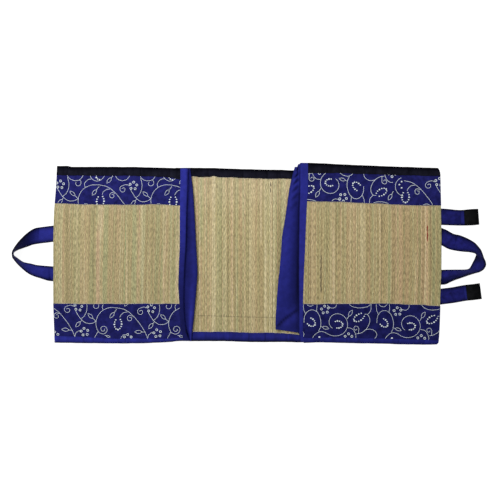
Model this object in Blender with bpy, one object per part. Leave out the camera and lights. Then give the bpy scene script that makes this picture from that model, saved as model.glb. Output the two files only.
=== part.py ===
"""Folding korai grass floor mat, lying partly opened on a floor.

Two outer reed panels with printed cloth bands lie over the ends of a plain middle panel. Blue hinge cloths join
them, folded back on themselves. Each outer panel has a carrying handle, and the right one has two closing tabs.

Metres, +Z up. +X runs along the mat, from the left panel to the right one, and the reeds run along Y. A panel is
described by u, which runs from 0 at its outer end to 1 where the hinge cloth's strip begins and on to 2 at its inner
end, by y, and by n, the height above its reed's underside.
"""

import math

import bmesh
import bpy
import numpy as np

# Cloth and reed
GAP = 0.0003  # between pieces that lie on each other
STRIP_GAP = 0.0012  # between a band's or binding's end and the hinge cloth's strip
REED = 0.004  # thickness of the woven reed
CLOTH = 0.001  # thickness of a band or a binding
HINGE_CLOTH = 0.0012
STRAP = 0.0024  # thickness of a handle or tab, a folded and stitched strip
PATCH = 0.0012
EDGE_PRESS = 0.0013  # how far a binding presses the reed's underside in
PRESS_RAMP = 0.006
UNDER_FLAP = 0.022  # width of a binding's flap below the reed
OUTER_CHAMFER = 0.0006
INNER_CHAMFER = 0.0002
KNOT_MARGIN = 0.004  # a knot across the panel stays this far from the lines beside it
CURVE_STEPS = 12  # points on a smooth curve between two given ones

# Heights in a panel, above its reed's underside
BAND_BASE = REED + GAP
BAND_TOP = BAND_BASE + CLOTH
PRINTED_FLAP_BASE = BAND_TOP + GAP
PLAIN_FLAP_BASE = REED + GAP
STRIP_MIDDLE = REED + 0.0005 + HINGE_CLOTH / 2

# An outer panel's outer end lies on the straps, then comes down to the floor
LIP_LIFT = STRAP + GAP

MIDDLE_ENDS = (-0.265, 0.215)
RETURN_HEIGHT = 0.0064  # middle of the hinge cloth where it lies on the middle panel
EDGE_CLEARANCE = 0.003  # hinge cloth to the panel end that it drapes over


def table(columns, rows):
    """A short table as one array for each named column."""
    return dict(zip(columns.split(), np.array(rows, dtype=float).T))


# Long edges of the left panel and the widths sewn along them, from the outer end to the inner end
LEFT_EDGES = table(
    "u low_y blue low_band high_band black high_y lift",
    [
        (0.00, -0.3273, 0.023, 0.112, 0.103, 0.033, 0.2985, LIP_LIFT),
        (0.08, -0.3278, 0.023, 0.112, 0.103, 0.033, 0.2982, LIP_LIFT),
        (0.12, -0.3282, 0.022, 0.113, 0.103, 0.031, 0.2950, 0.0017),
        (0.20, -0.3290, 0.021, 0.114, 0.104, 0.030, 0.2943, 0.0),
        (0.36, -0.3300, 0.018, 0.118, 0.105, 0.030, 0.2938, 0.0006),
        (0.52, -0.3297, 0.016, 0.120, 0.105, 0.030, 0.2930, 0.0028),
        (0.66, -0.3288, 0.016, 0.120, 0.104, 0.030, 0.2920, 0.0060),
        (0.78, -0.3268, 0.014, 0.120, 0.101, 0.031, 0.2906, 0.0086),
        (0.87, -0.3222, 0.010, 0.120, 0.098, 0.032, 0.2892, 0.0108),
        (0.94, -0.3196, 0.008, 0.120, 0.095, 0.035, 0.2880, 0.0124),
        (1.00, -0.3192, 0.008, 0.120, 0.090, 0.040, 0.2873, 0.0137),
        (2.00, -0.3187, 0.008, 0.120, 0.090, 0.040, 0.2870, 0.0144),
    ],
)
LEFT_ENDS = table(
    "y outer strip inner",
    [
        (-0.322, -0.6936, -0.236, -0.218),
        (-0.299, -0.6946, -0.237, -0.224),
        (-0.254, -0.6965, -0.243, -0.234),
        (-0.176, -0.6990, -0.2480, -0.238),
        (-0.123, -0.6990, -0.2505, -0.237),
        (-0.078, -0.6990, -0.2490, -0.2355),
        (0.035, -0.6990, -0.2455, -0.229),
        (0.134, -0.6960, -0.2450, -0.227),
        (0.212, -0.6895, -0.2450, -0.2235),
        (0.258, -0.6870, -0.2450, -0.2225),
        (0.291, -0.6850, -0.2450, -0.222),
    ],
)

# The same of the right panel, also from its outer end to its inner end
RIGHT_EDGES = table(
    "u low_y blue low_band high_band black high_y lift",
    [
        (0.00, -0.3372, 0.018, 0.118, 0.107, 0.027, 0.2900, LIP_LIFT),
        (0.08, -0.3366, 0.018, 0.118, 0.107, 0.027, 0.2908, LIP_LIFT),
        (0.12, -0.3360, 0.018, 0.118, 0.107, 0.028, 0.2912, 0.0017),
        (0.20, -0.3346, 0.018, 0.118, 0.106, 0.028, 0.2925, 0.0),
        (0.32, -0.3328, 0.018, 0.119, 0.105, 0.029, 0.2945, 0.0009),
        (0.44, -0.3312, 0.018, 0.119, 0.104, 0.029, 0.2965, 0.0036),
        (0.56, -0.3295, 0.018, 0.119, 0.103, 0.030, 0.2985, 0.0074),
        (0.68, -0.3275, 0.018, 0.119, 0.102, 0.031, 0.3005, 0.0115),
        (0.80, -0.3250, 0.018, 0.119, 0.101, 0.032, 0.3025, 0.0152),
        (0.91, -0.3246, 0.017, 0.120, 0.100, 0.034, 0.3038, 0.0184),
        (1.00, -0.3240, 0.015, 0.120, 0.100, 0.034, 0.3040, 0.0207),
        (2.00, -0.3225, 0.015, 0.120, 0.100, 0.034, 0.3042, 0.0214),
    ],
)
RIGHT_ENDS = table(
    "y outer strip inner",
    [
        (-0.330, 0.6720, 0.1900, 0.1820),
        (-0.300, 0.6745, 0.1865, 0.1765),
        (-0.264, 0.6770, 0.1850, 0.1745),
        (-0.188, 0.6787, 0.1858, 0.1725),
        (-0.071, 0.6787, 0.1895, 0.1718),
        (0.000, 0.6787, 0.1928, 0.1730),
        (0.130, 0.6787, 0.1980, 0.1755),
        (0.228, 0.6770, 0.2030, 0.1780),
        (0.275, 0.6755, 0.2033, 0.1788),
        (0.304, 0.6735, 0.2033, 0.1795),
    ],
)

# The middle panel lies flat, from its left end to its right end
MIDDLE_EDGES = table(
    "u low_y blue black high_y",
    [
        (0.00, -0.3195, 0.030, 0.0285, 0.2908),
        (0.14, -0.3208, 0.030, 0.0285, 0.2905),
        (0.26, -0.3208, 0.030, 0.0280, 0.2898),
        (0.40, -0.3212, 0.030, 0.0290, 0.2875),
        (0.50, -0.3234, 0.030, 0.0300, 0.2855),
        (0.62, -0.3238, 0.030, 0.0300, 0.2842),
        (0.78, -0.3240, 0.028, 0.0300, 0.2835),
        (0.92, -0.3248, 0.024, 0.0295, 0.2833),
        (1.00, -0.3250, 0.024, 0.0290, 0.2830),
    ],
)

# Hinge cloths, a row for each section from the lower long edge to the upper one: where it is sewn to the outer
# panel, the hollow beside that panel's end, the rim where it folds back, and the height of hollow and crest
LEFT_HINGE = table(
    "strip_y hollow_y rim_y rim_x hollow_z crest_z",
    [
        (-0.3187, -0.3195, -0.3215, -0.2050, 0.0096, 0.0120),
        (-0.2990, -0.2995, -0.3000, -0.2030, 0.0094, 0.0135),
        (-0.2540, -0.2545, -0.2550, -0.1980, 0.0092, 0.0150),
        (-0.1760, -0.1765, -0.1770, -0.1910, 0.0094, 0.0155),
        (-0.1230, -0.1235, -0.1240, -0.1866, 0.0096, 0.0155),
        (-0.0780, -0.0780, -0.0780, -0.1840, 0.0096, 0.0155),
        (0.0350, 0.0350, 0.0354, -0.1894, 0.0098, 0.0150),
        (0.1340, 0.1340, 0.1345, -0.1947, 0.0100, 0.0145),
        (0.2120, 0.2125, 0.2130, -0.2000, 0.0104, 0.0135),
        (0.2570, 0.2575, 0.2580, -0.2053, 0.0108, 0.0125),
        (0.2870, 0.2875, 0.2885, -0.2100, 0.0110, 0.0120),
    ],
)
RIGHT_HINGE = table(
    "strip_y hollow_y rim_y rim_x hollow_z crest_z",
    [
        (-0.3210, -0.2940, -0.2820, 0.0920, 0.0100, 0.0130),
        (-0.2850, -0.2620, -0.2476, 0.0920, 0.0094, 0.0150),
        (-0.2245, -0.2070, -0.1945, 0.0955, 0.0092, 0.0160),
        (-0.1660, -0.1530, -0.1410, 0.0990, 0.0092, 0.0160),
        (-0.0890, -0.0790, -0.0710, 0.1060, 0.0094, 0.0160),
        (-0.0310, -0.0230, -0.0180, 0.1107, 0.0096, 0.0158),
        (0.0390, 0.0430, 0.0460, 0.1150, 0.0098, 0.0156),
        (0.0970, 0.0990, 0.0990, 0.1238, 0.0100, 0.0154),
        (0.1625, 0.1620, 0.1590, 0.1326, 0.0104, 0.0152),
        (0.2275, 0.2240, 0.2190, 0.1415, 0.0110, 0.0150),
        (0.2780, 0.2730, 0.2650, 0.1520, 0.0118, 0.0155),
        (0.3030, 0.2990, 0.2885, 0.1602, 0.0126, 0.0165),
    ],
)
HINGE_STATIONS = 25  # along a section, closer together at its bends
LEFT_SECTIONS = 23
RIGHT_SECTIONS = 45
HOLLOW_REACH = 0.008  # from the outer panel's end to the lowest of the hollow
CREST_SETBACK = 0.011  # from the rim back to the crest
BEND_WEIGHT = 1.2
FOLD_FLOOR = RETURN_HEIGHT + HINGE_CLOTH + 0.0008  # lowest middle of the upper layer, over the returning one

# Small folds that cross the right hinge cloth, each along a line from near the hollow to near the rim
RIGHT_FOLDS = table(
    "hollow_x hollow_y rim_x rim_y depth reach",
    [
        (0.172, 0.2850, 0.158, 0.2700, -0.0020, 0.0055),
        (0.173, 0.2620, 0.153, 0.2430, -0.0022, 0.0060),
        (0.173, 0.2360, 0.150, 0.2150, -0.0020, 0.0065),
        (0.173, 0.2070, 0.146, 0.1830, -0.0018, 0.0070),
        (0.173, 0.1760, 0.143, 0.1520, -0.0014, 0.0080),
        (0.170, -0.2160, 0.096, -0.2720, -0.0042, 0.0095),
    ],
)
LEFT_FOLDS = table(
    "hollow_x hollow_y rim_x rim_y depth reach",
    [
        (-0.233, -0.2560, -0.214, -0.3120, -0.0020, 0.0050),
    ],
)

# Handles: the strap's inner edge on the floor, and how far its cross line leans from upright along X and Y. A lean of
# length 1 or more lies flat on the floor, and 0 stands upright.
HANDLE_WIDTH = 0.053
LEFT_HANDLE = table(
    "x y lean_x lean_y",
    [
        (-0.6704, 0.0324, 0.00, 1.00),
        (-0.6971, 0.0324, 0.00, 1.00),
        (-0.7274, 0.0289, 0.00, 1.00),
        (-0.7542, 0.0253, 0.04, 0.99),
        (-0.7738, 0.0218, 0.15, 0.88),
        (-0.7916, 0.0157, 0.20, 0.69),
        (-0.8077, 0.0096, 0.24, 0.47),
        (-0.8237, 0.0029, 0.30, 0.26),
        (-0.8344, -0.0025, 0.36, 0.13),
        (-0.8408, -0.0068, 0.39, 0.05),
        (-0.8437, -0.0132, 0.40, 0.01),
        (-0.8416, -0.0196, 0.39, -0.04),
        (-0.8344, -0.0253, 0.36, -0.09),
        (-0.8237, -0.0332, 0.31, -0.15),
        (-0.8095, -0.0415, 0.27, -0.24),
        (-0.7952, -0.0464, 0.24, -0.41),
        (-0.7791, -0.0500, 0.22, -0.62),
        (-0.7631, -0.0546, 0.22, -0.73),
        (-0.7417, -0.0582, 0.20, -0.83),
        (-0.7203, -0.0599, 0.10, -0.97),
        (-0.7070, -0.0607, 0.00, -1.04),
        (-0.6970, -0.0611, 0.00, -1.04),
        (-0.6704, -0.0624, 0.00, -1.00),
    ],
)
RIGHT_HANDLE = table(
    "x y lean_x lean_y",
    [
        (0.6508, 0.0324, 0.37, 0.93),
        (0.6811, 0.0203, 0.35, 0.94),
        (0.7025, 0.0078, 0.34, 0.94),
        (0.7203, 0.0018, 0.24, 0.96),
        (0.7417, -0.0018, 0.09, 0.89),
        (0.7631, -0.0043, -0.02, 0.77),
        (0.7809, -0.0068, -0.08, 0.60),
        (0.7952, -0.0093, -0.14, 0.38),
        (0.8045, -0.0128, -0.16, 0.20),
        (0.8077, -0.0171, -0.12, 0.06),
        (0.8070, -0.0232, -0.02, -0.06),
        (0.8030, -0.0321, 0.16, -0.10),
        (0.7980, -0.0428, 0.31, -0.09),
        (0.7923, -0.0535, 0.39, -0.07),
        (0.7873, -0.0624, 0.34, -0.08),
        (0.7820, -0.0685, 0.20, -0.10),
        (0.7738, -0.0706, 0.03, -0.15),
        (0.7595, -0.0713, -0.08, -0.26),
        (0.7417, -0.0713, -0.11, -0.42),
        (0.7203, -0.0713, -0.11, -0.62),
        (0.7020, -0.0713, -0.06, -0.84),
        (0.6880, -0.0713, 0.00, -1.03),
        (0.6780, -0.0713, 0.00, -1.03),
        (0.6508, -0.0713, 0.00, -1.00),
    ],
)
HANDLE_STATIONS = 85

# Closing tabs: the middle line, the width and the height above the floor
UPPER_TAB = table(
    "x y width lift",
    [
        (0.6487, 0.1175, 0.0560, 0.0),
        (0.6900, 0.1170, 0.0560, 0.0),
        (0.7330, 0.1150, 0.0530, 0.0012),
        (0.7560, 0.1155, 0.0540, 0.0022),
        (0.7900, 0.1175, 0.0550, 0.0008),
        (0.8150, 0.1190, 0.0540, 0.0),
    ],
)
LOWER_TAB = table(
    "x y width lift",
    [
        (0.6487, -0.1680, 0.0560, 0.0),
        (0.6900, -0.1635, 0.0560, 0.0),
        (0.7250, -0.1600, 0.0550, 0.0010),
        (0.7650, -0.1520, 0.0540, 0.0022),
        (0.7950, -0.1478, 0.0535, 0.0010),
        (0.8225, -0.1443, 0.0545, 0.0),
    ],
)
TAB_STATIONS = 15
PATCH_LENGTH = 0.050
PATCH_MARGIN = 0.0008  # a patch stops short of its tab's edges

BLUE = (0.018, 0.018, 0.18, 1.0)
PRINT_BLUE = (0.02, 0.016, 0.14, 1.0)
BLACK = (0.01, 0.01, 0.013, 1.0)
STRAW = (0.48, 0.40, 0.23, 1.0)


def clear_scene():
    for obj in list(bpy.data.objects):
        bpy.data.objects.remove(obj)


def material(name, color, roughness):
    made = bpy.data.materials.new(name)
    made.use_nodes = True
    shader = made.node_tree.nodes["Principled BSDF"]
    shader.inputs["Base Color"].default_value = color
    shader.inputs["Roughness"].default_value = roughness
    shader.inputs["Metallic"].default_value = 0.0
    made.diffuse_color = color
    return made


def add_object(name, bm, finish):
    """The closed mesh as an object, its faces turned outwards."""
    bmesh.ops.recalc_face_normals(bm, faces=bm.faces)
    mesh = bpy.data.meshes.new(name)
    bm.to_mesh(mesh)
    bm.free()
    mesh.materials.append(finish)
    obj = bpy.data.objects.new(name, mesh)
    bpy.context.scene.collection.objects.link(obj)
    return obj


def solid_between(name, lower, upper, finish):
    """A sheet as a solid: two grids of points of the same shape, and the walls around their borders."""
    rows, columns = lower.shape[:2]
    bm = bmesh.new()
    low = [[bm.verts.new(point) for point in row] for row in lower]
    high = [[bm.verts.new(point) for point in row] for row in upper]
    for i in range(rows - 1):
        for j in range(columns - 1):
            bm.faces.new((low[i][j], low[i + 1][j], low[i + 1][j + 1], low[i][j + 1]))
            bm.faces.new((high[i][j], high[i][j + 1], high[i + 1][j + 1], high[i + 1][j]))
    border = [(0, j) for j in range(columns)]
    border += [(i, columns - 1) for i in range(1, rows)]
    border += [(rows - 1, j) for j in range(columns - 2, -1, -1)]
    border += [(i, 0) for i in range(rows - 2, 0, -1)]
    for (i, j), (k, m) in zip(border, border[1:] + border[:1]):
        bm.faces.new((low[i][j], low[k][m], high[k][m], high[i][j]))
    return add_object(name, bm, finish)


def solid_along(name, rings, finish):
    """A solid through closed sections that follow each other, with a cap at both ends."""
    bm = bmesh.new()
    loops = [[bm.verts.new(point) for point in ring] for ring in rings]
    for one, two in zip(loops, loops[1:]):
        for k in range(len(one)):
            after = (k + 1) % len(one)
            bm.faces.new((one[k], one[after], two[after], two[k]))
    caps = [bm.faces.new(loops[0]), bm.faces.new(loops[-1])]
    bmesh.ops.triangulate(bm, faces=caps, ngon_method="EAR_CLIP")
    return add_object(name, bm, finish)


def smooth_curve(points, count):
    """Evenly spaced points on a Catmull-Rom curve through the given ones, over all their columns."""
    padded = np.vstack([2 * points[0] - points[1], points, 2 * points[-1] - points[-2]])
    fine = []
    for p0, p1, p2, p3 in zip(padded, padded[1:], padded[2:], padded[3:]):
        for t in np.linspace(0, 1, CURVE_STEPS, endpoint=False):
            cubic = 2 * p1 + (p2 - p0) * t
            cubic += (2 * p0 - 5 * p1 + 4 * p2 - p3) * t**2
            cubic += (3 * p1 - p0 - 3 * p2 + p3) * t**3
            fine.append(cubic / 2)
    fine.append(points[-1])
    fine = np.array(fine)
    steps = np.linalg.norm(np.diff(fine[:, :2], axis=0), axis=1)
    along = np.concatenate([[0], np.cumsum(steps)])
    wanted = np.linspace(0, along[-1], count)
    return np.column_stack([np.interp(wanted, along, column) for column in fine.T])


class Panel:
    """An outer reed panel, with what is sewn along its long edges."""

    def __init__(self, edges, ends):
        self.edges = edges
        self.ends = ends

    def edge(self, column, u):
        return np.interp(u, self.edges["u"], self.edges[column])

    def end(self, column, y):
        return np.interp(y, self.ends["y"], self.ends[column])

    def point(self, u, y, n):
        outer, inner = self.end("outer", y), self.end("inner", y)
        strip = self.end("strip", y) + math.copysign(STRIP_GAP, outer - inner)
        x = np.interp(u, (0, 1, 2), (outer, strip, inner))
        return (x, y, self.edge("lift", u) + n)

    def stations(self, upto):
        return [u for u in self.edges["u"] if u <= upto]

    def knots(self, lows, highs):
        """The rows of the ends' table that lie between two long lines on the panel at every station."""
        low, high = max(lows) + KNOT_MARGIN, min(highs) - KNOT_MARGIN
        return [y for y in self.ends["y"] if low < y < high]

    def reed(self, name, finish):
        wall = GAP + CLOTH
        inset = UNDER_FLAP + GAP
        margin = wall + inset + PRESS_RAMP
        knots = self.knots(self.edges["low_y"] + margin, self.edges["high_y"] - margin)
        lower, upper = [], []
        for u in self.stations(2):
            low = self.edge("low_y", u) + wall
            high = self.edge("high_y", u) - wall
            across = [(low, EDGE_PRESS), (low + inset, EDGE_PRESS), (low + inset + PRESS_RAMP, 0.0)]
            across += [(y, 0.0) for y in knots]
            across += [(high - inset - PRESS_RAMP, 0.0), (high - inset, EDGE_PRESS), (high, EDGE_PRESS)]
            lower.append([self.point(u, y, n) for y, n in across])
            upper.append([self.point(u, y, REED) for y, n in across])
        return solid_between(name, np.array(lower), np.array(upper), finish)

    def band(self, name, upper_side, finish):
        """A printed band. It runs beneath the binding's flap to the reed's long edge."""
        wall = GAP + CLOTH
        us = np.array(self.stations(1))
        if upper_side:
            highs = self.edge("high_y", us) - wall
            lows = highs + wall - self.edge("black", us) - self.edge("high_band", us)
        else:
            lows = self.edge("low_y", us) + wall
            highs = lows - wall + self.edge("blue", us) + self.edge("low_band", us)
        knots = self.knots(lows, highs)
        lower, upper = [], []
        for u, low, high in zip(us, lows, highs):
            across = [low, *knots, high]
            lower.append([self.point(u, y, BAND_BASE) for y in across])
            upper.append([self.point(u, y, BAND_TOP) for y in across])
        return solid_between(name, np.array(lower), np.array(upper), finish)

    def binding(self, name, upper_side, finish):
        grids = ([], [])
        for u in self.stations(1):
            edge_y = self.edge("high_y" if upper_side else "low_y", u)
            width = self.edge("black" if upper_side else "blue", u)
            inward = -1 if upper_side else 1
            for grid, face in zip(grids, binding_faces(width, PRINTED_FLAP_BASE)):
                grid.append([self.point(u, edge_y + inward * d, n) for d, n in face])
        return solid_between(name, np.array(grids[0]), np.array(grids[1]), finish)


def wrap(width, depth, low, high, chamfer):
    """One face of a binding as (distance in from its outer wall, height above the reed's underside)."""
    return [
        (UNDER_FLAP + CLOTH, low),
        (depth + chamfer, low),
        (depth, low + chamfer),
        (depth, high - chamfer),
        (depth + chamfer, high),
        (width, high),
    ]


def binding_faces(width, flap_base):
    """The inner and the outer face of a binding that is folded over a long edge."""
    inner = wrap(width, CLOTH, CLOTH, flap_base, INNER_CHAMFER)
    outer = wrap(width, 0.0, 0.0, flap_base + CLOTH, OUTER_CHAMFER)
    return inner, outer


def middle_x(u):
    left, right = MIDDLE_ENDS
    return left + (right - left) * u


def middle_reed(name, finish):
    wall = GAP + CLOTH
    inset = UNDER_FLAP + GAP
    lower, upper = [], []
    for k, u in enumerate(MIDDLE_EDGES["u"]):
        low = MIDDLE_EDGES["low_y"][k] + wall
        high = MIDDLE_EDGES["high_y"][k] - wall
        across = [(low, EDGE_PRESS), (low + inset, EDGE_PRESS), (low + inset + PRESS_RAMP, 0.0)]
        across += [(high - inset - PRESS_RAMP, 0.0), (high - inset, EDGE_PRESS), (high, EDGE_PRESS)]
        lower.append([(middle_x(u), y, n) for y, n in across])
        upper.append([(middle_x(u), y, REED) for y, n in across])
    return solid_between(name, np.array(lower), np.array(upper), finish)


def middle_binding(name, upper_side, finish):
    grids = ([], [])
    for k, u in enumerate(MIDDLE_EDGES["u"]):
        edge_y = MIDDLE_EDGES["high_y" if upper_side else "low_y"][k]
        width = MIDDLE_EDGES["black" if upper_side else "blue"][k]
        inward = -1 if upper_side else 1
        for grid, face in zip(grids, binding_faces(width, PLAIN_FLAP_BASE)):
            grid.append([(middle_x(u), edge_y + inward * d, n) for d, n in face])
    return solid_between(name, np.array(grids[0]), np.array(grids[1]), finish)


def hinge_section(panel, row, side, middle_end):
    """One section of a hinge cloth, from its strip on the outer panel to its end on the middle panel.

    side is 1 where the middle panel lies towards +X of the outer panel, and -1 where it lies towards -X. Each point
    is its distance from the outer panel's end, its y and its height.
    """
    strip_y = row["strip_y"]
    edge = panel.end("inner", strip_y)
    strip = abs(panel.end("strip", strip_y) - edge)
    strip_lift = panel.edge("lift", 1) + STRIP_MIDDLE
    top = panel.edge("lift", 2) + STRIP_MIDDLE
    reach = side * (row["rim_x"] - edge)
    end = side * (middle_end - edge)
    hollow_x = min(HOLLOW_REACH, 0.45 * reach)
    crest_x = max(reach - CREST_SETBACK, hollow_x + 0.40 * (reach - hollow_x))
    hollow_y, rim_y = row["hollow_y"], row["rim_y"]
    roll = (row["crest_z"] - RETURN_HEIGHT) / 2
    points = [
        (-strip, strip_y, strip_lift),
        (-strip * 0.5, strip_y, (strip_lift + top) / 2 + 0.0001),
        (-0.001, strip_y, top + 0.0006),
        (EDGE_CLEARANCE - 0.0004, strip_y, top - 0.0012),
        (EDGE_CLEARANCE, (strip_y + hollow_y) / 2, (top + row["hollow_z"]) / 2),
        (EDGE_CLEARANCE + 0.0010, hollow_y, row["hollow_z"] + 0.0018),
        (hollow_x, hollow_y + (rim_y - hollow_y) * 0.05, row["hollow_z"]),
        ((hollow_x + crest_x) / 2, (hollow_y + rim_y) / 2, (row["hollow_z"] + row["crest_z"]) / 2),
        (crest_x, rim_y, row["crest_z"]),
        (reach - roll * 0.7, rim_y, row["crest_z"] - roll * 0.3),
        (reach, rim_y, row["crest_z"] - roll),
        (reach - roll * 0.7, rim_y, RETURN_HEIGHT + roll * 0.3),
        (reach - 0.010, rim_y, RETURN_HEIGHT),
        ((reach + end) / 2, rim_y, RETURN_HEIGHT),
        (end + 0.001, rim_y, RETURN_HEIGHT),
    ]
    return [(edge + side * along, y, z) for along, y, z in points]


def segment_distance(point, start, end):
    """Distance in plan from a point to a segment."""
    line = end - start
    share = np.clip(np.dot(point - start, line) / np.dot(line, line), 0, 1)
    return float(np.linalg.norm(point - start - share * line))


def press_folds(points, folds, crest_z):
    """Presses the small folds into the layer between a section's hollow and its rim."""
    lowest, highest = FOLD_FLOOR + 0.0005, crest_z + 0.001
    for k in range(len(points)):
        if not lowest < points[k][2] < highest:
            continue
        plan = np.array(points[k][:2])
        for j in range(len(folds["depth"])):
            start = np.array((folds["hollow_x"][j], folds["hollow_y"][j]))
            end = np.array((folds["rim_x"][j], folds["rim_y"][j]))
            near = segment_distance(plan, start, end) / folds["reach"][j]
            points[k][2] += folds["depth"][j] * math.exp(-near * near)
        points[k][2] = max(points[k][2], FOLD_FLOOR)
    return points


def path_resampled(points, count):
    """The section's path as a smooth curve with the given number of stations, closer together at its bends."""
    fine = smooth_path(np.array(points))
    steps = np.diff(fine, axis=0)
    lengths = np.linalg.norm(steps, axis=1)
    heading = np.unwrap(np.arctan2(steps[:, 2], steps[:, 0]))
    turning = np.concatenate([[0], np.abs(np.diff(heading))])
    weight = lengths / lengths.sum() + turning / turning.sum() * BEND_WEIGHT
    along = np.concatenate([[0], np.cumsum(weight)])
    wanted = np.linspace(0, along[-1], count)
    return np.column_stack([np.interp(wanted, along, column) for column in fine.T])


def smooth_path(points):
    """A curve through the points that keeps to their order, without overshoot at the sharp bends."""
    tangents = np.gradient(points, axis=0)
    tangents /= np.linalg.norm(tangents, axis=1, keepdims=True)
    fine = []
    for k in range(len(points) - 1):
        span = np.linalg.norm(points[k + 1] - points[k])
        for t in np.linspace(0, 1, CURVE_STEPS, endpoint=False):
            h00 = 2 * t**3 - 3 * t**2 + 1
            h10 = t**3 - 2 * t**2 + t
            h01 = 3 * t**2 - 2 * t**3
            h11 = t**3 - t**2
            bend = (h10 * tangents[k] + h11 * tangents[k + 1]) * span
            fine.append(h00 * points[k] + h01 * points[k + 1] + bend)
    fine.append(points[-1])
    return np.array(fine)


def hinge_cloth(name, panel, rows, folds, side, middle_end, sections, finish):
    """A hinge cloth as a folded sheet, its sections read from the table and smoothed between its rows."""
    shares = np.arange(len(rows["rim_y"]))
    wanted = np.linspace(0, shares[-1], sections)
    grid = []
    for share in wanted:
        row = {column: float(np.interp(share, shares, values)) for column, values in rows.items()}
        path = path_resampled(hinge_section(panel, row, side, middle_end), HINGE_STATIONS)
        grid.append(press_folds(path, folds, row["crest_z"]))
    grid = np.array(grid)
    along = np.gradient(grid, axis=1)
    across = np.gradient(grid, axis=0)
    normal = np.cross(along, across)
    skin = normal / np.linalg.norm(normal, axis=2, keepdims=True) * HINGE_CLOTH / 2
    return solid_between(name, grid - skin, grid + skin, finish)


def handle(name, rows, finish):
    """A flat strap that stands up on its inner edge towards the far end of its loop."""
    path = smooth_curve(np.column_stack(list(rows.values())), HANDLE_STATIONS)
    lean = path[:, 2:]
    slope = np.linalg.norm(lean, axis=1, keepdims=True)
    lean = lean / np.maximum(slope, 1)
    rise = np.sqrt(np.maximum(0, 1 - (lean**2).sum(axis=1)))
    across = np.column_stack([lean, rise]) * HANDLE_WIDTH
    inner = np.column_stack([path[:, :2], np.zeros(len(path))])
    face = np.cross(across, np.gradient(inner + across / 2, axis=0))
    face /= np.linalg.norm(face, axis=1, keepdims=True)
    skin = face * np.sign(face[0, 2]) * STRAP / 2
    rings = np.stack([inner - skin, inner + across - skin, inner + across + skin, inner + skin], axis=1)
    rings[:, :, 2] -= rings[:, :, 2].min(axis=1, keepdims=True)
    return solid_along(name, rings, finish)


def tab_path(rows):
    points = np.column_stack([rows["x"], rows["y"], rows["width"], rows["lift"]])
    return smooth_curve(points, TAB_STATIONS)


def tab_rings(path, base, top, margin):
    heading = np.gradient(path[:, :2], axis=0)
    heading /= np.linalg.norm(heading, axis=1, keepdims=True)
    rings = []
    for (x, y, width, lift), (dx, dy) in zip(path, heading):
        half = width / 2 - margin
        side = np.array((-dy, dx)) * half
        low, high = max(lift, 0.0) + base, max(lift, 0.0) + top
        rings.append(
            [
                (x - side[0], y - side[1], low),
                (x + side[0], y + side[1], low),
                (x + side[0], y + side[1], high),
                (x - side[0], y - side[1], high),
            ]
        )
    return rings


def closing_tab(name, rows, finish):
    return solid_along(name, tab_rings(tab_path(rows), 0.0, STRAP, 0.0), finish)


def grip_patch(name, rows, finish):
    """A patch on the end of a closing tab, on stations of the tab's own path."""
    path = tab_path(rows)
    start = path[-1][0] - PATCH_LENGTH
    stations = [path[k] for k in range(len(path)) if path[k][0] > start + 0.002]
    first = np.array([np.interp(start, path[:, 0], column) for column in path.T])
    last = path[-1] + (path[-2] - path[-1]) * 0.08
    chosen = np.array([first] + stations[:-1] + [last])
    return solid_along(name, tab_rings(chosen, STRAP + GAP, STRAP + GAP + PATCH, PATCH_MARGIN), finish)


def centre_on_floor():
    """Moves everything so that the middle of its bounding box's underside is the origin."""
    corners = np.array([v.co for obj in bpy.data.objects for v in obj.data.vertices])
    lowest, highest = corners.min(axis=0), corners.max(axis=0)
    shift = np.array([*(-(lowest + highest)[:2] / 2), -lowest[2]])
    for obj in bpy.data.objects:
        obj.location = shift


def main():
    clear_scene()
    blue = material("plain_blue_cloth", BLUE, 0.8)
    print_blue = material("printed_blue_cloth", PRINT_BLUE, 0.75)
    black = material("black_cloth", BLACK, 0.85)
    straw = material("korai_reed", STRAW, 0.7)

    left = Panel(LEFT_EDGES, LEFT_ENDS)
    right = Panel(RIGHT_EDGES, RIGHT_ENDS)
    for side, panel in (("left", left), ("right", right)):
        panel.reed(f"outer_panel_{side}", straw)
        panel.band(f"print_band_{side}_lower", False, print_blue)
        panel.band(f"print_band_{side}_upper", True, print_blue)
        panel.binding(f"blue_binding_{side}", False, blue)
        panel.binding(f"black_binding_{side}", True, black)

    middle_reed("middle_panel", straw)
    middle_binding("blue_binding_middle", False, blue)
    middle_binding("black_binding_middle", True, black)

    left_end, right_end = MIDDLE_ENDS
    hinge_cloth("hinge_cloth_left", left, LEFT_HINGE, LEFT_FOLDS, 1, left_end, LEFT_SECTIONS, blue)
    hinge_cloth("hinge_cloth_right", right, RIGHT_HINGE, RIGHT_FOLDS, -1, right_end, RIGHT_SECTIONS, blue)

    handle("handle_left", LEFT_HANDLE, blue)
    handle("handle_right", RIGHT_HANDLE, blue)
    for place, rows in (("upper", UPPER_TAB), ("lower", LOWER_TAB)):
        closing_tab(f"closing_tab_{place}", rows, blue)
        grip_patch(f"grip_patch_{place}", rows, black)
    centre_on_floor()


main()
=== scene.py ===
# %% [markdown]
# # A folding korai grass floor mat, partly opened
# Korai is a river grass. Its dried stalks are woven side by side into stiff panels, and cloth joins three of them so
# that the mat folds flat for carrying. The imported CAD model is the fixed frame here, and every visible piece is made
# to lie where its solid lies.

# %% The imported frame
import math

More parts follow.
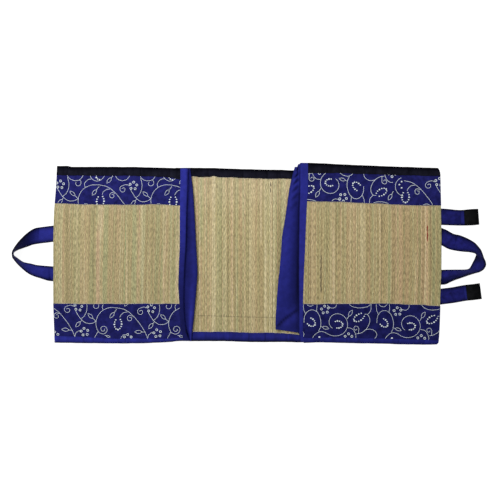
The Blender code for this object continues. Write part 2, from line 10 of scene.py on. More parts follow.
import bpy
import numpy as np
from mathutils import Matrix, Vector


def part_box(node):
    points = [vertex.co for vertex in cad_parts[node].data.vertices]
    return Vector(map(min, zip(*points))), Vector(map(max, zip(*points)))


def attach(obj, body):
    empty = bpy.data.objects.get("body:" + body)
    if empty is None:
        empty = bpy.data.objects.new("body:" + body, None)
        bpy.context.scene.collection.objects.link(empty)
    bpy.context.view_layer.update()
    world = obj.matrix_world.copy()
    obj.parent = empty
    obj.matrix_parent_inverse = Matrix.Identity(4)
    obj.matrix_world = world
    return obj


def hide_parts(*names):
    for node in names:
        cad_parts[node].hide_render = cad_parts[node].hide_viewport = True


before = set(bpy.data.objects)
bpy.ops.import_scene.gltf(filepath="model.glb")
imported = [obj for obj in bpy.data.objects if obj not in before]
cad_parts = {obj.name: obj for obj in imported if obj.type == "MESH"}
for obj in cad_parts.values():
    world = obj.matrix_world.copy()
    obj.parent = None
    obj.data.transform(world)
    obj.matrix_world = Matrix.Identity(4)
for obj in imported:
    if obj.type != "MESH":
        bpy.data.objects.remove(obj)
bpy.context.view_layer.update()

# The tables below are measured from the camera's axis. The CAD model is centred on its own box.
MIDDLE_ENDS = (-0.265, 0.215)  # x of the middle panel's ends in the tables
MIDDLE_TOP = 0.2895  # and its highest y
low_corner, high_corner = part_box("middle_panel")
SHIFT = np.array([low_corner.x - MIDDLE_ENDS[0], high_corner.y - MIDDLE_TOP, 0.0])
print("table to frame, mm:", (SHIFT * 1000).round(2))

# %% [markdown]
# ## Camera
# The mat was photographed from straight above, from about the height of someone on a step. The camera comes first,
# because every size was read at this distance.

# %% Camera
CAMERA_HEIGHT = 1.605
VIEW_WIDTH = 1.7785  # metres of floor across the picture
VIEW_DISTANCE = 1.6
camera_data = bpy.data.cameras.new("camera")
camera_data.sensor_width = 36.0
camera_data.lens = camera_data.sensor_width * VIEW_DISTANCE / VIEW_WIDTH
camera = bpy.data.objects.new("camera", camera_data)
camera.location = (SHIFT[0], SHIFT[1], CAMERA_HEIGHT)
bpy.context.scene.collection.objects.link(camera)
bpy.context.scene.camera = camera
print("lens mm:", round(camera_data.lens, 2))

# %% [markdown]
# ## Sizes
# Each long edge wanders a little, and each panel end too, so the sizes are kept as short tables with named columns.
# A panel is described by u, which runs from 0 at its outer end to 1 where the hinge cloth's strip begins and on to 2
# at its inner end, by y, and by n, the height above its reed's underside.

# %% Tables and a smooth curve through their values
def table(columns, rows):
    """A short table as one array for each named column."""
    return dict(zip(columns.split(), np.array(rows, dtype=float).T))


def flow(at, knots, values):
    """A smooth curve through a table's values that never swings past them."""
    at = np.clip(np.asarray(at, float), knots[0], knots[-1])
    gaps = np.diff(knots)
    rates = np.diff(values) / gaps
    slopes = np.concatenate([[rates[0]], np.zeros(len(rates) - 1), [rates[-1]]])
    same = rates[:-1] * rates[1:] > 0
    both = np.where(same, rates[:-1] + rates[1:], 1)
    slopes[1:-1] = np.where(same, 2 * rates[:-1] * rates[1:] / both, 0)
    k = np.clip(np.searchsorted(knots, at) - 1, 0, len(gaps) - 1)
    t = (at - knots[k]) / gaps[k]
    start = values[k] * (1 + 2 * t) * (1 - t) ** 2 + slopes[k] * gaps[k] * t * (1 - t) ** 2
    return start + values[k + 1] * t * t * (3 - 2 * t) + slopes[k + 1] * gaps[k] * t * t * (t - 1)


def bell(distance, width):
    """1 where there is no distance, and soon 0 beyond the width."""
    return np.exp(-((distance / width) ** 2))


GAP = 0.0003  # air left between pieces
REED = 0.004  # thickness of the woven reed
CLOTH = 0.001  # of a band or binding
BAND_BASE = REED + GAP
FLAP_ON_PRINT = BAND_BASE + CLOTH + GAP
STRAP = 0.0024  # thickness of a handle or tab
LIP = STRAP + GAP  # height of an outer panel's end on its straps

LEFT_EDGES = table("u low_y blue low_band high_band black high_y lift", [
    (0.00, -0.3298, 0.0255, 0.114, 0.100, 0.0337, 0.2992, LIP),
    (0.08, -0.3303, 0.0255, 0.114, 0.100, 0.0337, 0.2989, LIP),
    (0.12, -0.3307, 0.0245, 0.115, 0.100, 0.0317, 0.2957, 0.0017),
    (0.20, -0.3315, 0.0235, 0.116, 0.101, 0.0319, 0.2962, 0.0),
    (0.36, -0.3325, 0.0205, 0.120, 0.102, 0.0325, 0.2963, 0.0006),
    (0.52, -0.3322, 0.0185, 0.122, 0.102, 0.0325, 0.2955, 0.0028),
    (0.66, -0.3313, 0.0185, 0.122, 0.101, 0.0323, 0.2943, 0.0060),
    (0.78, -0.3288, 0.0160, 0.122, 0.098, 0.0329, 0.2925, 0.0086),
    (0.87, -0.3264, 0.0144, 0.122, 0.096, 0.0337, 0.2909, 0.0108),
    (0.91, -0.3248, 0.0132, 0.122, 0.095, 0.0350, 0.2902, 0.0117),
    (0.94, -0.3227, 0.0115, 0.121, 0.094, 0.0365, 0.2895, 0.0124),
    (1.00, -0.3212, 0.0112, 0.120, 0.090, 0.0405, 0.2880, 0.0137),
    (2.00, -0.3212, 0.0112, 0.120, 0.090, 0.0405, 0.2877, 0.0144),
])
LEFT_ENDS = table("y outer strip inner", [
    (-0.322, -0.6936, -0.236, -0.218),
    (-0.299, -0.6946, -0.2385, -0.224),
    (-0.254, -0.6965, -0.2450, -0.234),
    (-0.176, -0.6990, -0.2498, -0.238),
    (-0.123, -0.6990, -0.2528, -0.237),
    (-0.078, -0.6990, -0.2515, -0.2355),
    (0.035, -0.6990, -0.2475, -0.229),
    (0.134, -0.6960, -0.2472, -0.227),
    (0.212, -0.6898, -0.2466, -0.2235),
    (0.258, -0.6870, -0.2450, -0.2225),
    (0.291, -0.6850, -0.2450, -0.222),
])
RIGHT_EDGES = table("u low_y blue low_band high_band black high_y lift", [
    (0.00, -0.3360, 0.0168, 0.120, 0.105, 0.0290, 0.2920, LIP),
    (0.08, -0.3368, 0.0182, 0.121, 0.105, 0.0292, 0.2930, LIP),
    (0.12, -0.3368, 0.0188, 0.122, 0.105, 0.0304, 0.2936, 0.0017),
    (0.20, -0.3366, 0.0200, 0.122, 0.105, 0.0308, 0.2953, 0.0),
    (0.32, -0.3350, 0.0202, 0.123, 0.104, 0.0317, 0.2972, 0.0009),
    (0.44, -0.3329, 0.0197, 0.123, 0.103, 0.0312, 0.2987, 0.0036),
    (0.56, -0.3310, 0.0195, 0.121, 0.102, 0.0318, 0.3003, 0.0074),
    (0.68, -0.3294, 0.0199, 0.119, 0.101, 0.0322, 0.3017, 0.0115),
    (0.80, -0.3268, 0.0198, 0.117, 0.100, 0.0334, 0.3039, 0.0152),
    (0.91, -0.3254, 0.0178, 0.117, 0.099, 0.0358, 0.3056, 0.0184),
    (1.00, -0.3268, 0.0178, 0.119, 0.099, 0.0362, 0.3062, 0.0207),
    (2.00, -0.3235, 0.0160, 0.120, 0.099, 0.0366, 0.3068, 0.0214),
])
RIGHT_ENDS = table("y outer strip inner", [
    (-0.335, 0.6630, 0.1900, 0.1820),
    (-0.329, 0.6688, 0.1898, 0.1818),
    (-0.300, 0.6722, 0.1865, 0.1765),
    (-0.264, 0.6740, 0.1850, 0.1755),
    (-0.188, 0.6764, 0.1858, 0.1745),
    (-0.071, 0.6806, 0.1895, 0.1738),
    (0.000, 0.6812, 0.1928, 0.1742),
    (0.130, 0.6794, 0.1980, 0.1755),
    (0.228, 0.6770, 0.2030, 0.1780),
    (0.262, 0.6760, 0.2033, 0.1786),
    (0.276, 0.6744, 0.2033, 0.1788),
    (0.284, 0.6717, 0.2033, 0.1790),
    (0.291, 0.6672, 0.2033, 0.1792),
    (0.304, 0.6570, 0.2033, 0.1795),
])
MIDDLE_EDGES = table("u low_y blue black high_y lift", [
    (0.00, -0.3232, 0.0337, 0.0307, 0.2930, 0.0),
    (0.14, -0.3248, 0.0340, 0.0311, 0.2927, 0.0),
    (0.19, -0.3248, 0.0340, 0.0334, 0.2926, 0.0),
    (0.258, -0.3247, 0.0339, 0.0329, 0.2924, 0.0),
    (0.273, -0.3247, 0.0339, 0.0304, 0.2922, 0.0),
    (0.287, -0.3247, 0.0339, 0.0286, 0.2920, 0.0),
    (0.301, -0.3247, 0.0339, 0.0304, 0.2918, 0.0),
    (0.320, -0.3248, 0.0339, 0.0322, 0.2915, 0.0),
    (0.40, -0.3251, 0.0339, 0.0316, 0.2901, 0.0),
    (0.50, -0.3276, 0.0342, 0.0330, 0.2885, 0.0),
    (0.62, -0.3280, 0.0342, 0.0328, 0.2868, 0.0),
    (0.78, -0.3281, 0.0321, 0.0322, 0.2859, 0.0),
    (0.86, -0.3285, 0.0300, 0.0318, 0.2838, 0.0),
    (0.92, -0.3289, 0.0281, 0.0310, 0.2838, 0.0),
    (1.00, -0.3289, 0.0279, 0.0300, 0.2840, 0.0),
])
MIDDLE_SPAN = table("y outer strip inner", [(-0.33, *MIDDLE_ENDS, 0.216), (0.31, *MIDDLE_ENDS, 0.216)])


class Panel:
    """A reed panel as it lies: what is sewn along its long edges, and its two ends."""

    def __init__(self, edges, ends, flap):
        self.edges = edges
        self.ends = ends
        self.flap = flap

    def edge(self, column, u):
        return flow(u, self.edges["u"], self.edges[column])

    def rim(self, upper_side, u):
        """A long edge's y, the width of the binding's flap on it, and which way is inward."""
        if upper_side:
            return self.edge("high_y", u), self.edge("black", u), -1
        return self.edge("low_y", u), self.edge("blue", u), 1

    def end(self, column, y):
        return flow(y, self.ends["y"], self.ends[column])

    def x(self, u, y):
        outer, strip, inner = (self.end(column, y) for column in ("outer", "strip", "inner"))
        return np.where(u <= 1, outer + (strip - outer) * u, strip + (inner - strip) * (u - 1))

    def u(self, x, y):
        outer, strip, inner = (self.end(column, y) for column in ("outer", "strip", "inner"))
        share = (x - outer) / (strip - outer)
        return np.where(share <= 1, share, 1 + (x - strip) / (inner - strip))

    def at(self, u, y, n):
        u, y, n = np.broadcast_arrays(np.asarray(u, float), np.asarray(y, float), np.asarray(n, float))
        return np.stack([self.x(u, y), y, self.edge("lift", u) + n], axis=-1)


left = Panel(LEFT_EDGES, LEFT_ENDS, FLAP_ON_PRINT)
right = Panel(RIGHT_EDGES, RIGHT_ENDS, FLAP_ON_PRINT)
middle = Panel(MIDDLE_EDGES, MIDDLE_SPAN, REED + GAP)
print("left panel mm:", round(float(left.x(2, 0) - left.x(0, 0)) * 1000))

# %% [markdown]
# ## Shader groups
# Effects that several finishes share are groups: a plain weave, and the soft mottling that any used cloth or straw
# has. A group puts out only heights and masks, and each material keeps its own shader.

# %% Small helpers for node trees
def add_node(tree, kind, **settings):
    made = tree.nodes.new(kind)
    for name, value in settings.items():
        if hasattr(made, name):
            setattr(made, name, value)
        else:
            made.inputs[name.replace("_", " ")].default_value = value
    return made


def maths(tree, operation, *values):
    made = tree.nodes.new("ShaderNodeMath")
    made.operation = operation
    for socket, value in zip(made.inputs, values):
        if isinstance(value, (int, float)):
            socket.default_value = value
        else:
            tree.links.new(value, socket)
    return made.outputs[0]


def object_place(tree):
    return tree.nodes.new("ShaderNodeTexCoord").outputs["Object"]


def noise_at(tree, vector, **settings):
    made = add_node(tree, "ShaderNodeTexNoise", **settings)
    tree.links.new(vector, made.inputs["Vector"])
    return made


def bump_by(tree, shader, height, distance):
    bump = add_node(tree, "ShaderNodeBump", Distance=distance)
    tree.links.new(height, bump.inputs["Height"])
    tree.links.new(bump.outputs["Normal"], shader.inputs["Normal"])


def shade_by(tree, shader, shade, color):
    """The shader's base colour is this colour, or this socket's, times a shade."""
    tint = add_node(tree, "ShaderNodeMix", data_type="RGBA", blend_type="MULTIPLY", Factor=1.0)
    if isinstance(color, tuple):
        tint.inputs[6].default_value = (*color, 1.0)
    else:
        tree.links.new(color, tint.inputs[6])
    tree.links.new(shade, tint.inputs[7])
    tree.links.new(tint.outputs[2], shader.inputs["Base Color"])


def new_group(name, inputs, outputs):
    tree = bpy.data.node_groups.new(name, "ShaderNodeTree")
    for label, kind, value in inputs:
        socket = tree.interface.new_socket(label, in_out="INPUT", socket_type=kind)
        if value is not None:
            socket.default_value = value
    for label, kind in outputs:
        tree.interface.new_socket(label, in_out="OUTPUT", socket_type=kind)
    return tree, tree.nodes.new("NodeGroupInput"), tree.nodes.new("NodeGroupOutput")


# %% The plain weave group
weave, weave_in, weave_out = new_group(
    "plain weave",
    [("Vector", "NodeSocketVector", None), ("Threads per metre", "NodeSocketFloat", 1600.0)],
    [("Height", "NodeSocketFloat"), ("Shade", "NodeSocketFloat")],
)
split = add_node(weave, "ShaderNodeSeparateXYZ")
weave.links.new(weave_in.outputs["Vector"], split.inputs[0])
turns = maths(weave, "MULTIPLY", weave_in.outputs["Threads per metre"], math.pi)
warp = maths(weave, "SINE", maths(weave, "MULTIPLY", split.outputs["X"], turns))
weft = maths(weave, "SINE", maths(weave, "MULTIPLY", split.outputs["Y"], turns))
crossing = maths(weave, "MULTIPLY", warp, weft)
weave.links.new(maths(weave, "MULTIPLY_ADD", crossing, 0.5, 0.5), weave_out.inputs["Height"])
weave.links.new(maths(weave, "MULTIPLY_ADD", crossing, 0.06, 0.97), weave_out.inputs["Shade"])
print("group:", weave.name)

# %% The mottling group
mottle, mottle_in, mottle_out = new_group(
    "mottling",
    [
        ("Vector", "NodeSocketVector", None),
        ("Patch size", "NodeSocketFloat", 0.05),
        ("Amount", "NodeSocketFloat", 0.1),
    ],
    [("Shade", "NodeSocketFloat")],
)
patches = noise_at(mottle, mottle_in.outputs["Vector"], Detail=3.0, Roughness=0.6)
mottle.links.new(maths(mottle, "DIVIDE", 1.0, mottle_in.outputs["Patch size"]), patches.inputs["Scale"])
centred = maths(mottle, "MULTIPLY_ADD", patches.outputs["Fac"], 2.0, -1.0)
shade = maths(mottle, "MAXIMUM", maths(mottle, "MULTIPLY_ADD", centred, mottle_in.outputs["Amount"], 1.0), 0.2)
mottle.links.new(shade, mottle_out.inputs["Shade"])
print("group:", mottle.name)

# %% [markdown]
# ## Cloth finishes
# The plain blue is a smooth poplin, the black and the printed ground are the same weight. Each is a dark dyed cloth
# with a fine weave in its bump, a slow change of shade, and hardly any gloss.

# %% Cloth materials
def new_material(name, color, roughness, gloss):
    made = bpy.data.materials.new(name)
    made.use_nodes = True
    shader = made.node_tree.nodes["Principled BSDF"]
    shader.inputs["Base Color"].default_value = (*color, 1.0)
    shader.inputs["Roughness"].default_value = roughness
    shader.inputs["Specular IOR Level"].default_value = gloss
    made.diffuse_color = (*color, 1.0)
    return made, made.node_tree, shader


def place_group(tree, group, vector, **values):
    made = tree.nodes.new("ShaderNodeGroup")
    made.node_tree = group
    tree.links.new(vector, made.inputs["Vector"])
    for name, value in values.items():
        made.inputs[name.replace("_", " ")].default_value = value
    return made


def cloth_material(name, color, gloss=0.05, threads=1500.0, amount=0.40, depth=0.00006):
    made, tree, shader = new_material(name, color, 0.8, gloss)
    coordinates = tree.nodes.new("ShaderNodeTexCoord")
    woven = place_group(tree, weave, coordinates.outputs["UV"], Threads_per_metre=threads)
    patches = place_group(tree, mottle, coordinates.outputs["Object"], Patch_size=0.018, Amount=amount)
    # Painted light and shade, with some random tone, kept on each point of a sheet and multiplied into the cloth's
    # colour
    painted_light_and_tone = add_node(tree, "ShaderNodeAttribute", attribute_name="painted_light_and_tone")
    shades = maths(tree, "MULTIPLY", woven.outputs["Shade"], patches.outputs["Shade"])
    shade_by(tree, shader, maths(tree, "MULTIPLY", shades, painted_light_and_tone.outputs["Fac"]), color)
    bump_by(tree, shader, woven.outputs["Height"], depth)
    return made


plain_blue = cloth_material("plain blue poplin", (0.0140, 0.0165, 0.158))
# Painted shade: the right handle and the tabs are the plain blue cloth, made darker for the weaker light on the right
# of the mat
shaded_blue = cloth_material("blue strap cloth in painted shade", (0.0072, 0.0078, 0.080), amount=1.00)
# Painted highlight: the tabs' folded-back hems are the tabs' cloth in a paler blue, standing in for light on the fold
hem_blue = cloth_material("blue tab hem", (0.0108, 0.0125, 0.112))
print_ground = cloth_material("blue ground of the print", (0.0116, 0.0124, 0.094), gloss=0.02, amount=0.90)
plain_black = cloth_material("plain black cloth", (0.0070, 0.0070, 0.0126), gloss=0.0, amount=0.80)
print("cloth materials:", len(bpy.data.materials))

# %% [markdown]
# The print is a pale raised paste on the cloth. The sewing thread is dyed to match what it sews, apart from the
# undyed one that holds cloth edges down on the reed.

# %% Print, thread and grip materials
print_paste, paste_tree, paste_shader = new_material("pale printed paste", (0.56, 0.56, 0.44), 0.6, 0.2)
paste_noise = noise_at(paste_tree, object_place(paste_tree), Scale=420.0, Detail=2.0)
paste_ramp = paste_tree.nodes.new("ShaderNodeValToRGB")
thin_paste, thick_paste = paste_ramp.color_ramp.elements
thin_paste.position, thin_paste.color = 0.30, (0.42, 0.47, 0.51, 1)
thick_paste.position, thick_paste.color = 0.62, (0.60, 0.65, 0.63, 1)
paste_tree.links.new(paste_noise.outputs["Fac"], paste_ramp.inputs["Fac"])
paste_tree.links.new(paste_ramp.outputs["Color"], paste_shader.inputs["Base Color"])


def thread_material(name, color):
    made, tree, shader = new_material(name, color, 0.6, 0.25)
    twist = noise_at(tree, object_place(tree), Scale=1800.0, Detail=1.0)
    bump_by(tree, shader, twist.outputs["Fac"], 0.0001)
    return made


blue_thread = thread_material("blue sewing thread", (0.012, 0.014, 0.11))
black_thread = thread_material("black sewing thread", (0.006, 0.006, 0.008))
pale_thread = thread_material("undyed sewing thread", (0.62, 0.60, 0.54))
grip_black = cloth_material("black hook patch", (0.0056, 0.0057, 0.0064), 0.0, threads=700.0, amount=1.0, depth=0.0003)
print("small finishes:", print_paste.name, blue_thread.name, black_thread.name, grip_black.name)

# %% [markdown]
# ## Korai reed finish
# No two stalks have the same colour: some dried green, some pink near the root, some nearly white. Each stalk carries
# its own colour as an attribute of the mesh. The material adds what a woven stalk has along its length, which is
# fine fibres, and a painted shade wherever it dips under a thread.

# %% Reed material
THREAD_PITCH = 0.0139  # between the threads that the stalks are woven on
reed_finish, reed_tree, reed_shader = new_material("woven korai reed", (0.38, 0.31, 0.16), 0.75, 0.15)
reed_place = object_place(reed_tree)
reed_axes = reed_tree.nodes.new("ShaderNodeSeparateXYZ")
reed_tree.links.new(reed_place, reed_axes.inputs[0])
stalk_color = add_node(reed_tree, "ShaderNodeAttribute", attribute_name="stalk_color").outputs["Color"]
stalk_phase = add_node(reed_tree, "ShaderNodeAttribute", attribute_name="stalk_phase").outputs["Fac"]
reed_turns = maths(reed_tree, "MULTIPLY_ADD", reed_axes.outputs["Y"], math.pi / THREAD_PITCH, stalk_phase)
dip_wave = maths(reed_tree, "MULTIPLY_ADD", maths(reed_tree, "COSINE", reed_turns), -0.5, 0.5)
dips = maths(reed_tree, "POWER", dip_wave, 1.6)


def reed_noise(scale, detail, roughness):
    """Noise on the stalks: its scale is per metre across, along and through them."""
    stretch = add_node(reed_tree, "ShaderNodeMapping", Scale=scale)
    reed_tree.links.new(reed_place, stretch.inputs["Vector"])
    noise = noise_at(reed_tree, stretch.outputs["Vector"], Scale=1.0, Detail=detail, Roughness=roughness)
    return noise.outputs["Fac"]


fibres = reed_noise((1100.0, 38.0, 1100.0), 3.0, 0.65)
flecks = reed_noise((380.0, 95.0, 380.0), 2.0, 0.6)
fibre_shade = maths(reed_tree, "MULTIPLY_ADD", fibres, 0.50, 0.75)
fleck_shade = maths(reed_tree, "MULTIPLY_ADD", flecks, 1.60, 0.26)
dip_shade = maths(reed_tree, "MULTIPLY_ADD", dips, -0.17, 1.045)
reed_shade = maths(reed_tree, "MULTIPLY", maths(reed_tree, "MULTIPLY", fibre_shade, fleck_shade), dip_shade)
shade_by(reed_tree, reed_shader, reed_shade, stalk_color)
reed_height = maths(reed_tree, "MULTIPLY_ADD", fibres, 0.30, maths(reed_tree, "MULTIPLY", dips, -0.70))
bump_by(reed_tree, reed_shader, reed_height, 0.0004)
print("reed threads every mm:", THREAD_PITCH * 1000)

# %% [markdown]
# ## Woven reed panels
# One stalk is a thin cylinder, cut across many times along its length so that it can bend. An Array modifier copies
# it for a whole panel, and then each copy is moved to its own place between the panel's two ends, which also gives it
# its own thickness, wander and colour.

# %% One stalk, copied for a panel
STALK_PITCH = 0.0034  # between the middles of two stalks
STALK_SIDES = 6
ARRAY_STEP = 3.0  # between copies, before each is moved to its place


def select_only(obj):
    bpy.ops.object.select_all(action="DESELECT")
    obj.select_set(True)
    bpy.context.view_layer.objects.active = obj


def row_of_stalks(name, count, cuts):
    """Copies of one cut cylinder along X, each of radius 1 and from -1 to 1 along Y."""
    bpy.ops.object.select_all(action="DESELECT")
    bpy.ops.mesh.primitive_cylinder_add(
        vertices=STALK_SIDES, radius=1, depth=2, end_fill_type="NGON", rotation=(math.pi / 2, 0, 0)
    )
    obj = bpy.context.object
    obj.name = obj.data.name = name
    bpy.ops.object.transform_apply(location=False, rotation=True, scale=False)
    bpy.ops.object.mode_set(mode="EDIT")
    bpy.ops.mesh.select_mode(type="EDGE")
    bpy.ops.mesh.select_all(action="DESELECT")
    bpy.ops.object.mode_set(mode="OBJECT")
    for edge in obj.data.edges:
        a, b = (obj.data.vertices[k].co for k in edge.vertices)
        edge.select = abs(a.y - b.y) > 1
    bpy.ops.object.mode_set(mode="EDIT")
    bpy.ops.mesh.subdivide(number_cuts=cuts, smoothness=0)
    bpy.ops.object.mode_set(mode="OBJECT")
    array = obj.modifiers.new("stalks", "ARRAY")
    array.count = count
    array.use_relative_offset = False
    array.use_constant_offset = True
    array.constant_offset_displace = (ARRAY_STEP, 0, 0)
    bpy.ops.object.modifier_apply(modifier=array.name)
    return obj


# %% [markdown]
# The colours come from a few named tints. A slow random walk from stalk to stalk makes soft stripes, and a short
# table adds the stripes and single odd stalks that stand out on this mat.

# %% Stalk colours
STRAW = np.array([0.365, 0.300, 0.150])
PALE = np.array([0.520, 0.440, 0.270])
DARK = np.array([0.235, 0.190, 0.095])
PINK = np.array([0.430, 0.285, 0.175])
GREEN = np.array([0.285, 0.300, 0.155])
RED = np.array([0.170, 0.016, 0.012])
BLACKISH = np.array([0.060, 0.045, 0.030])
# Painted light: near the black bindings at the top the stalks are mixed toward this paler tint, standing in for the
# brighter light there
TOP_LIGHT_TINT = np.array([0.54, 0.46, 0.33])  # near the black bindings

# Stripes across a panel: middle, half width, light (1 pale, -1 dark), hue (1 pink, -1 green), and their y range
LEFT_STRIPES = table("x half light hue low high", [
    (-0.6960, 0.004, -0.5, 0.0, -0.4, 0.4),
    (-0.6510, 0.006, -0.8, -0.3, -0.4, 0.4),
    (-0.6150, 0.003, 0.6, 0.0, -0.4, 0.4),
    (-0.5920, 0.004, 0.6, -0.1, -0.4, 0.4),
    (-0.5570, 0.003, -0.7, -0.2, -0.15, 0.10),
    (-0.5420, 0.007, 0.4, 1.0, -0.4, 0.08),
    (-0.5280, 0.004, 1.0, 0.5, 0.05, 0.4),
    (-0.4375, 0.003, 0.7, 0.3, -0.4, 0.4),
    (-0.4315, 0.003, -0.6, 0.0, -0.4, 0.4),
    (-0.4110, 0.008, 0.1, -0.9, -0.4, 0.4),
    (-0.3824, 0.003, 1.0, 0.0, -0.4, 0.4),
    (-0.3450, 0.003, -0.6, 0.1, -0.4, 0.4),
    (-0.3060, 0.003, 0.7, 0.4, -0.4, 0.4),
    (-0.2790, 0.004, 0.7, -0.7, -0.4, 0.4),
    (-0.2600, 0.003, 0.7, 0.5, -0.4, 0.4),
])
MIDDLE_STRIPES = table("x half light hue low high", [
    (-0.1970, 0.003, 0.9, 0.0, 0.18, 0.4),
    (-0.1890, 0.003, 0.5, 0.8, 0.05, 0.4),
    (-0.1740, 0.004, -0.3, -1.2, 0.02, 0.4),
    (-0.1595, 0.003, 1.3, 0.9, 0.19, 0.4),
    (-0.1595, 0.003, 0.8, 0.3, 0.00, 0.19),
    (-0.1470, 0.006, -0.6, 0.0, 0.10, 0.4),
    (-0.0860, 0.003, 0.1, 1.0, 0.20, 0.4),
    (-0.0870, 0.004, 0.6, 0.0, -0.4, 0.4),
    (-0.0290, 0.006, -0.8, 0.0, -0.4, 0.07),
    (0.0107, 0.007, 0.7, 0.0, -0.4, 0.4),
    (0.0390, 0.006, -0.8, 0.1, -0.4, 0.02),
    (0.0550, 0.003, 1.0, 0.0, -0.4, 0.05),
    (0.0747, 0.003, 0.7, 0.0, -0.4, 0.4),
])
RIGHT_STRIPES = table("x half light hue low high", [
    (0.2188, 0.005, 0.7, 0.4, -0.4, 0.4),
    (0.2350, 0.003, 0.5, -0.2, -0.4, 0.4),
    (0.2668, 0.003, -0.7, 0.0, -0.4, 0.4),
    (0.2950, 0.004, 1.0, 0.1, -0.4, 0.08),
    (0.3095, 0.003, 0.8, 0.4, -0.4, 0.08),
    (0.3326, 0.003, 0.5, -0.4, -0.4, 0.4),
    (0.3557, 0.003, 0.7, 0.0, -0.4, 0.4),
    (0.3653, 0.003, 0.9, 0.3, -0.4, 0.4),
    (0.3930, 0.004, 0.9, 0.0, -0.4, 0.4),
    (0.4160, 0.003, -0.6, 0.0, -0.4, 0.4),
    (0.4357, 0.006, 0.2, -0.8, -0.4, 0.4),
    (0.4517, 0.003, -0.5, 0.3, 0.06, 0.4),
    (0.4944, 0.004, -0.3, -0.8, -0.4, 0.06),
    (0.5193, 0.004, 0.8, 0.7, -0.4, 0.4),
    (0.5336, 0.004, 0.4, 0.6, -0.4, 0.4),
    (0.5727, 0.003, -0.5, 0.0, -0.4, 0.4),
    (0.5894, 0.004, -0.8, 0.0, 0.0, 0.4),
    (0.6047, 0.004, -0.6, -0.5, -0.4, 0.4),
    (0.6171, 0.004, -0.4, 0.5, -0.4, 0.4),
    (0.6296, 0.004, 0.2, 1.0, -0.4, 0.4),
    (0.6403, 0.003, -0.6, 0.0, -0.4, 0.4),
    (0.6527, 0.006, -1.0, -0.5, -0.4, 0.4),
    (0.6720, 0.006, -0.9, -0.3, -0.4, 0.4),
])
# Single marks on a stalk: 1 red, 0 nearly black
MARKS = table("x low high red strength", [
    (0.6296, 0.034, 0.090, 1, 1.0),
    (0.2525, -0.150, -0.020, 0, 0.95),
    (0.2525, -0.020, 0.150, 0, 0.25),
    (0.0730, 0.227, 0.239, 0, 0.9),
    (0.0730, 0.207, 0.219, 0, 0.9),
    (-0.1170, 0.218, 0.230, 0, 0.5),
    (-0.1400, 0.236, 0.244, 0, 0.35),
])


def soft(values, width):
    """Values smoothed by a short window."""
    window = np.hanning(2 * width + 3)[1:-1]
    return np.convolve(np.pad(values, width, mode="edge"), window / window.sum(), mode="valid")


def mix(a, b, share):
    return a + (b - a) * np.clip(share, 0, 1)[..., None]


def under(distance, blur):
    """1 well under a limit, 0 well over it, and a soft change between."""
    return 1 / (1 + np.exp(distance / blur))


def stalk_colors(x, y, strip, stripes, panel_light, contrast, rng):
    """A colour for each point of each stalk, from its place, its own random tint, and the panel's painted light level,
    painted lighter toward the top.
    """
    count = len(x)
    slow = soft(rng.normal(size=count), 3)
    light = contrast * (0.25 * slow / slow.std() + rng.normal(scale=0.54, size=count))
    hues = soft(rng.normal(size=count), 3)
    hue = 0.20 * hues / hues.std() + rng.normal(scale=0.30, size=count)
    turn = rng.uniform(0, 2 * math.pi, (count, 1))
    bend = rng.uniform(0, 2 * math.pi, (count, 1))
    along = 0.20 * np.sin(y * 13.0 + turn) + 0.16 * np.sin(y * 41.0 + bend)
    light = light[:, None] * 0.8 + along
    hue = hue[:, None] + 0.15 * np.sin(y * 9.0 + bend)
    for stripe_x, half, pale, pink, low, high in zip(*stripes.values()):
        near = np.exp(-(((x - stripe_x) / half) ** 4)) * under(low - y, 0.012) * under(y - high, 0.012)
        light = light * (1 - 0.5 * near) + 1.10 * pale * near
        hue = hue * (1 - 0.5 * near) + 0.95 * pink * near
    light = light + 1.2 * bell(x - strip, 0.0035)
    color = np.broadcast_to(STRAW, (*light.shape, 3))
    for tint, share in ((PALE, light * 0.62), (DARK, -light * 0.55), (PINK, hue * 0.75), (GREEN, -hue * 0.75)):
        color = mix(color, tint, share)
    # Painted light: each panel is paler near its black binding and brighter toward the top
    color = mix(color, TOP_LIGHT_TINT, 0.16 * under(0.16 - y, 0.02))
    # Painted light: the panel's light level makes the whole panel lighter or darker, with a slight cast
    color = color * np.array(panel_light) * (1 + 0.16 * y[..., None])
    for mark_x, low, high, red, strength in zip(*MARKS.values()):
        beside = np.abs(x.mean(axis=1) - mark_x)
        if beside.min() < STALK_PITCH:
            chosen = int(beside.argmin())
            inside = (y[chosen] > low) & (y[chosen] < high)
            color[chosen] = mix(color[chosen], RED if red else BLACKISH, inside * strength)
    return color


# %% The three panels
WEAVE_RISE = 0.00022  # how far a stalk bends up and down
THREAD_INSET = 0.002  # from a stalk's end to its first thread, at least
FAR_OFF = 9.0  # an x that no stalk reaches
STALK_INSET = 0.0030  # from a binding's fold to the ends of the stalks


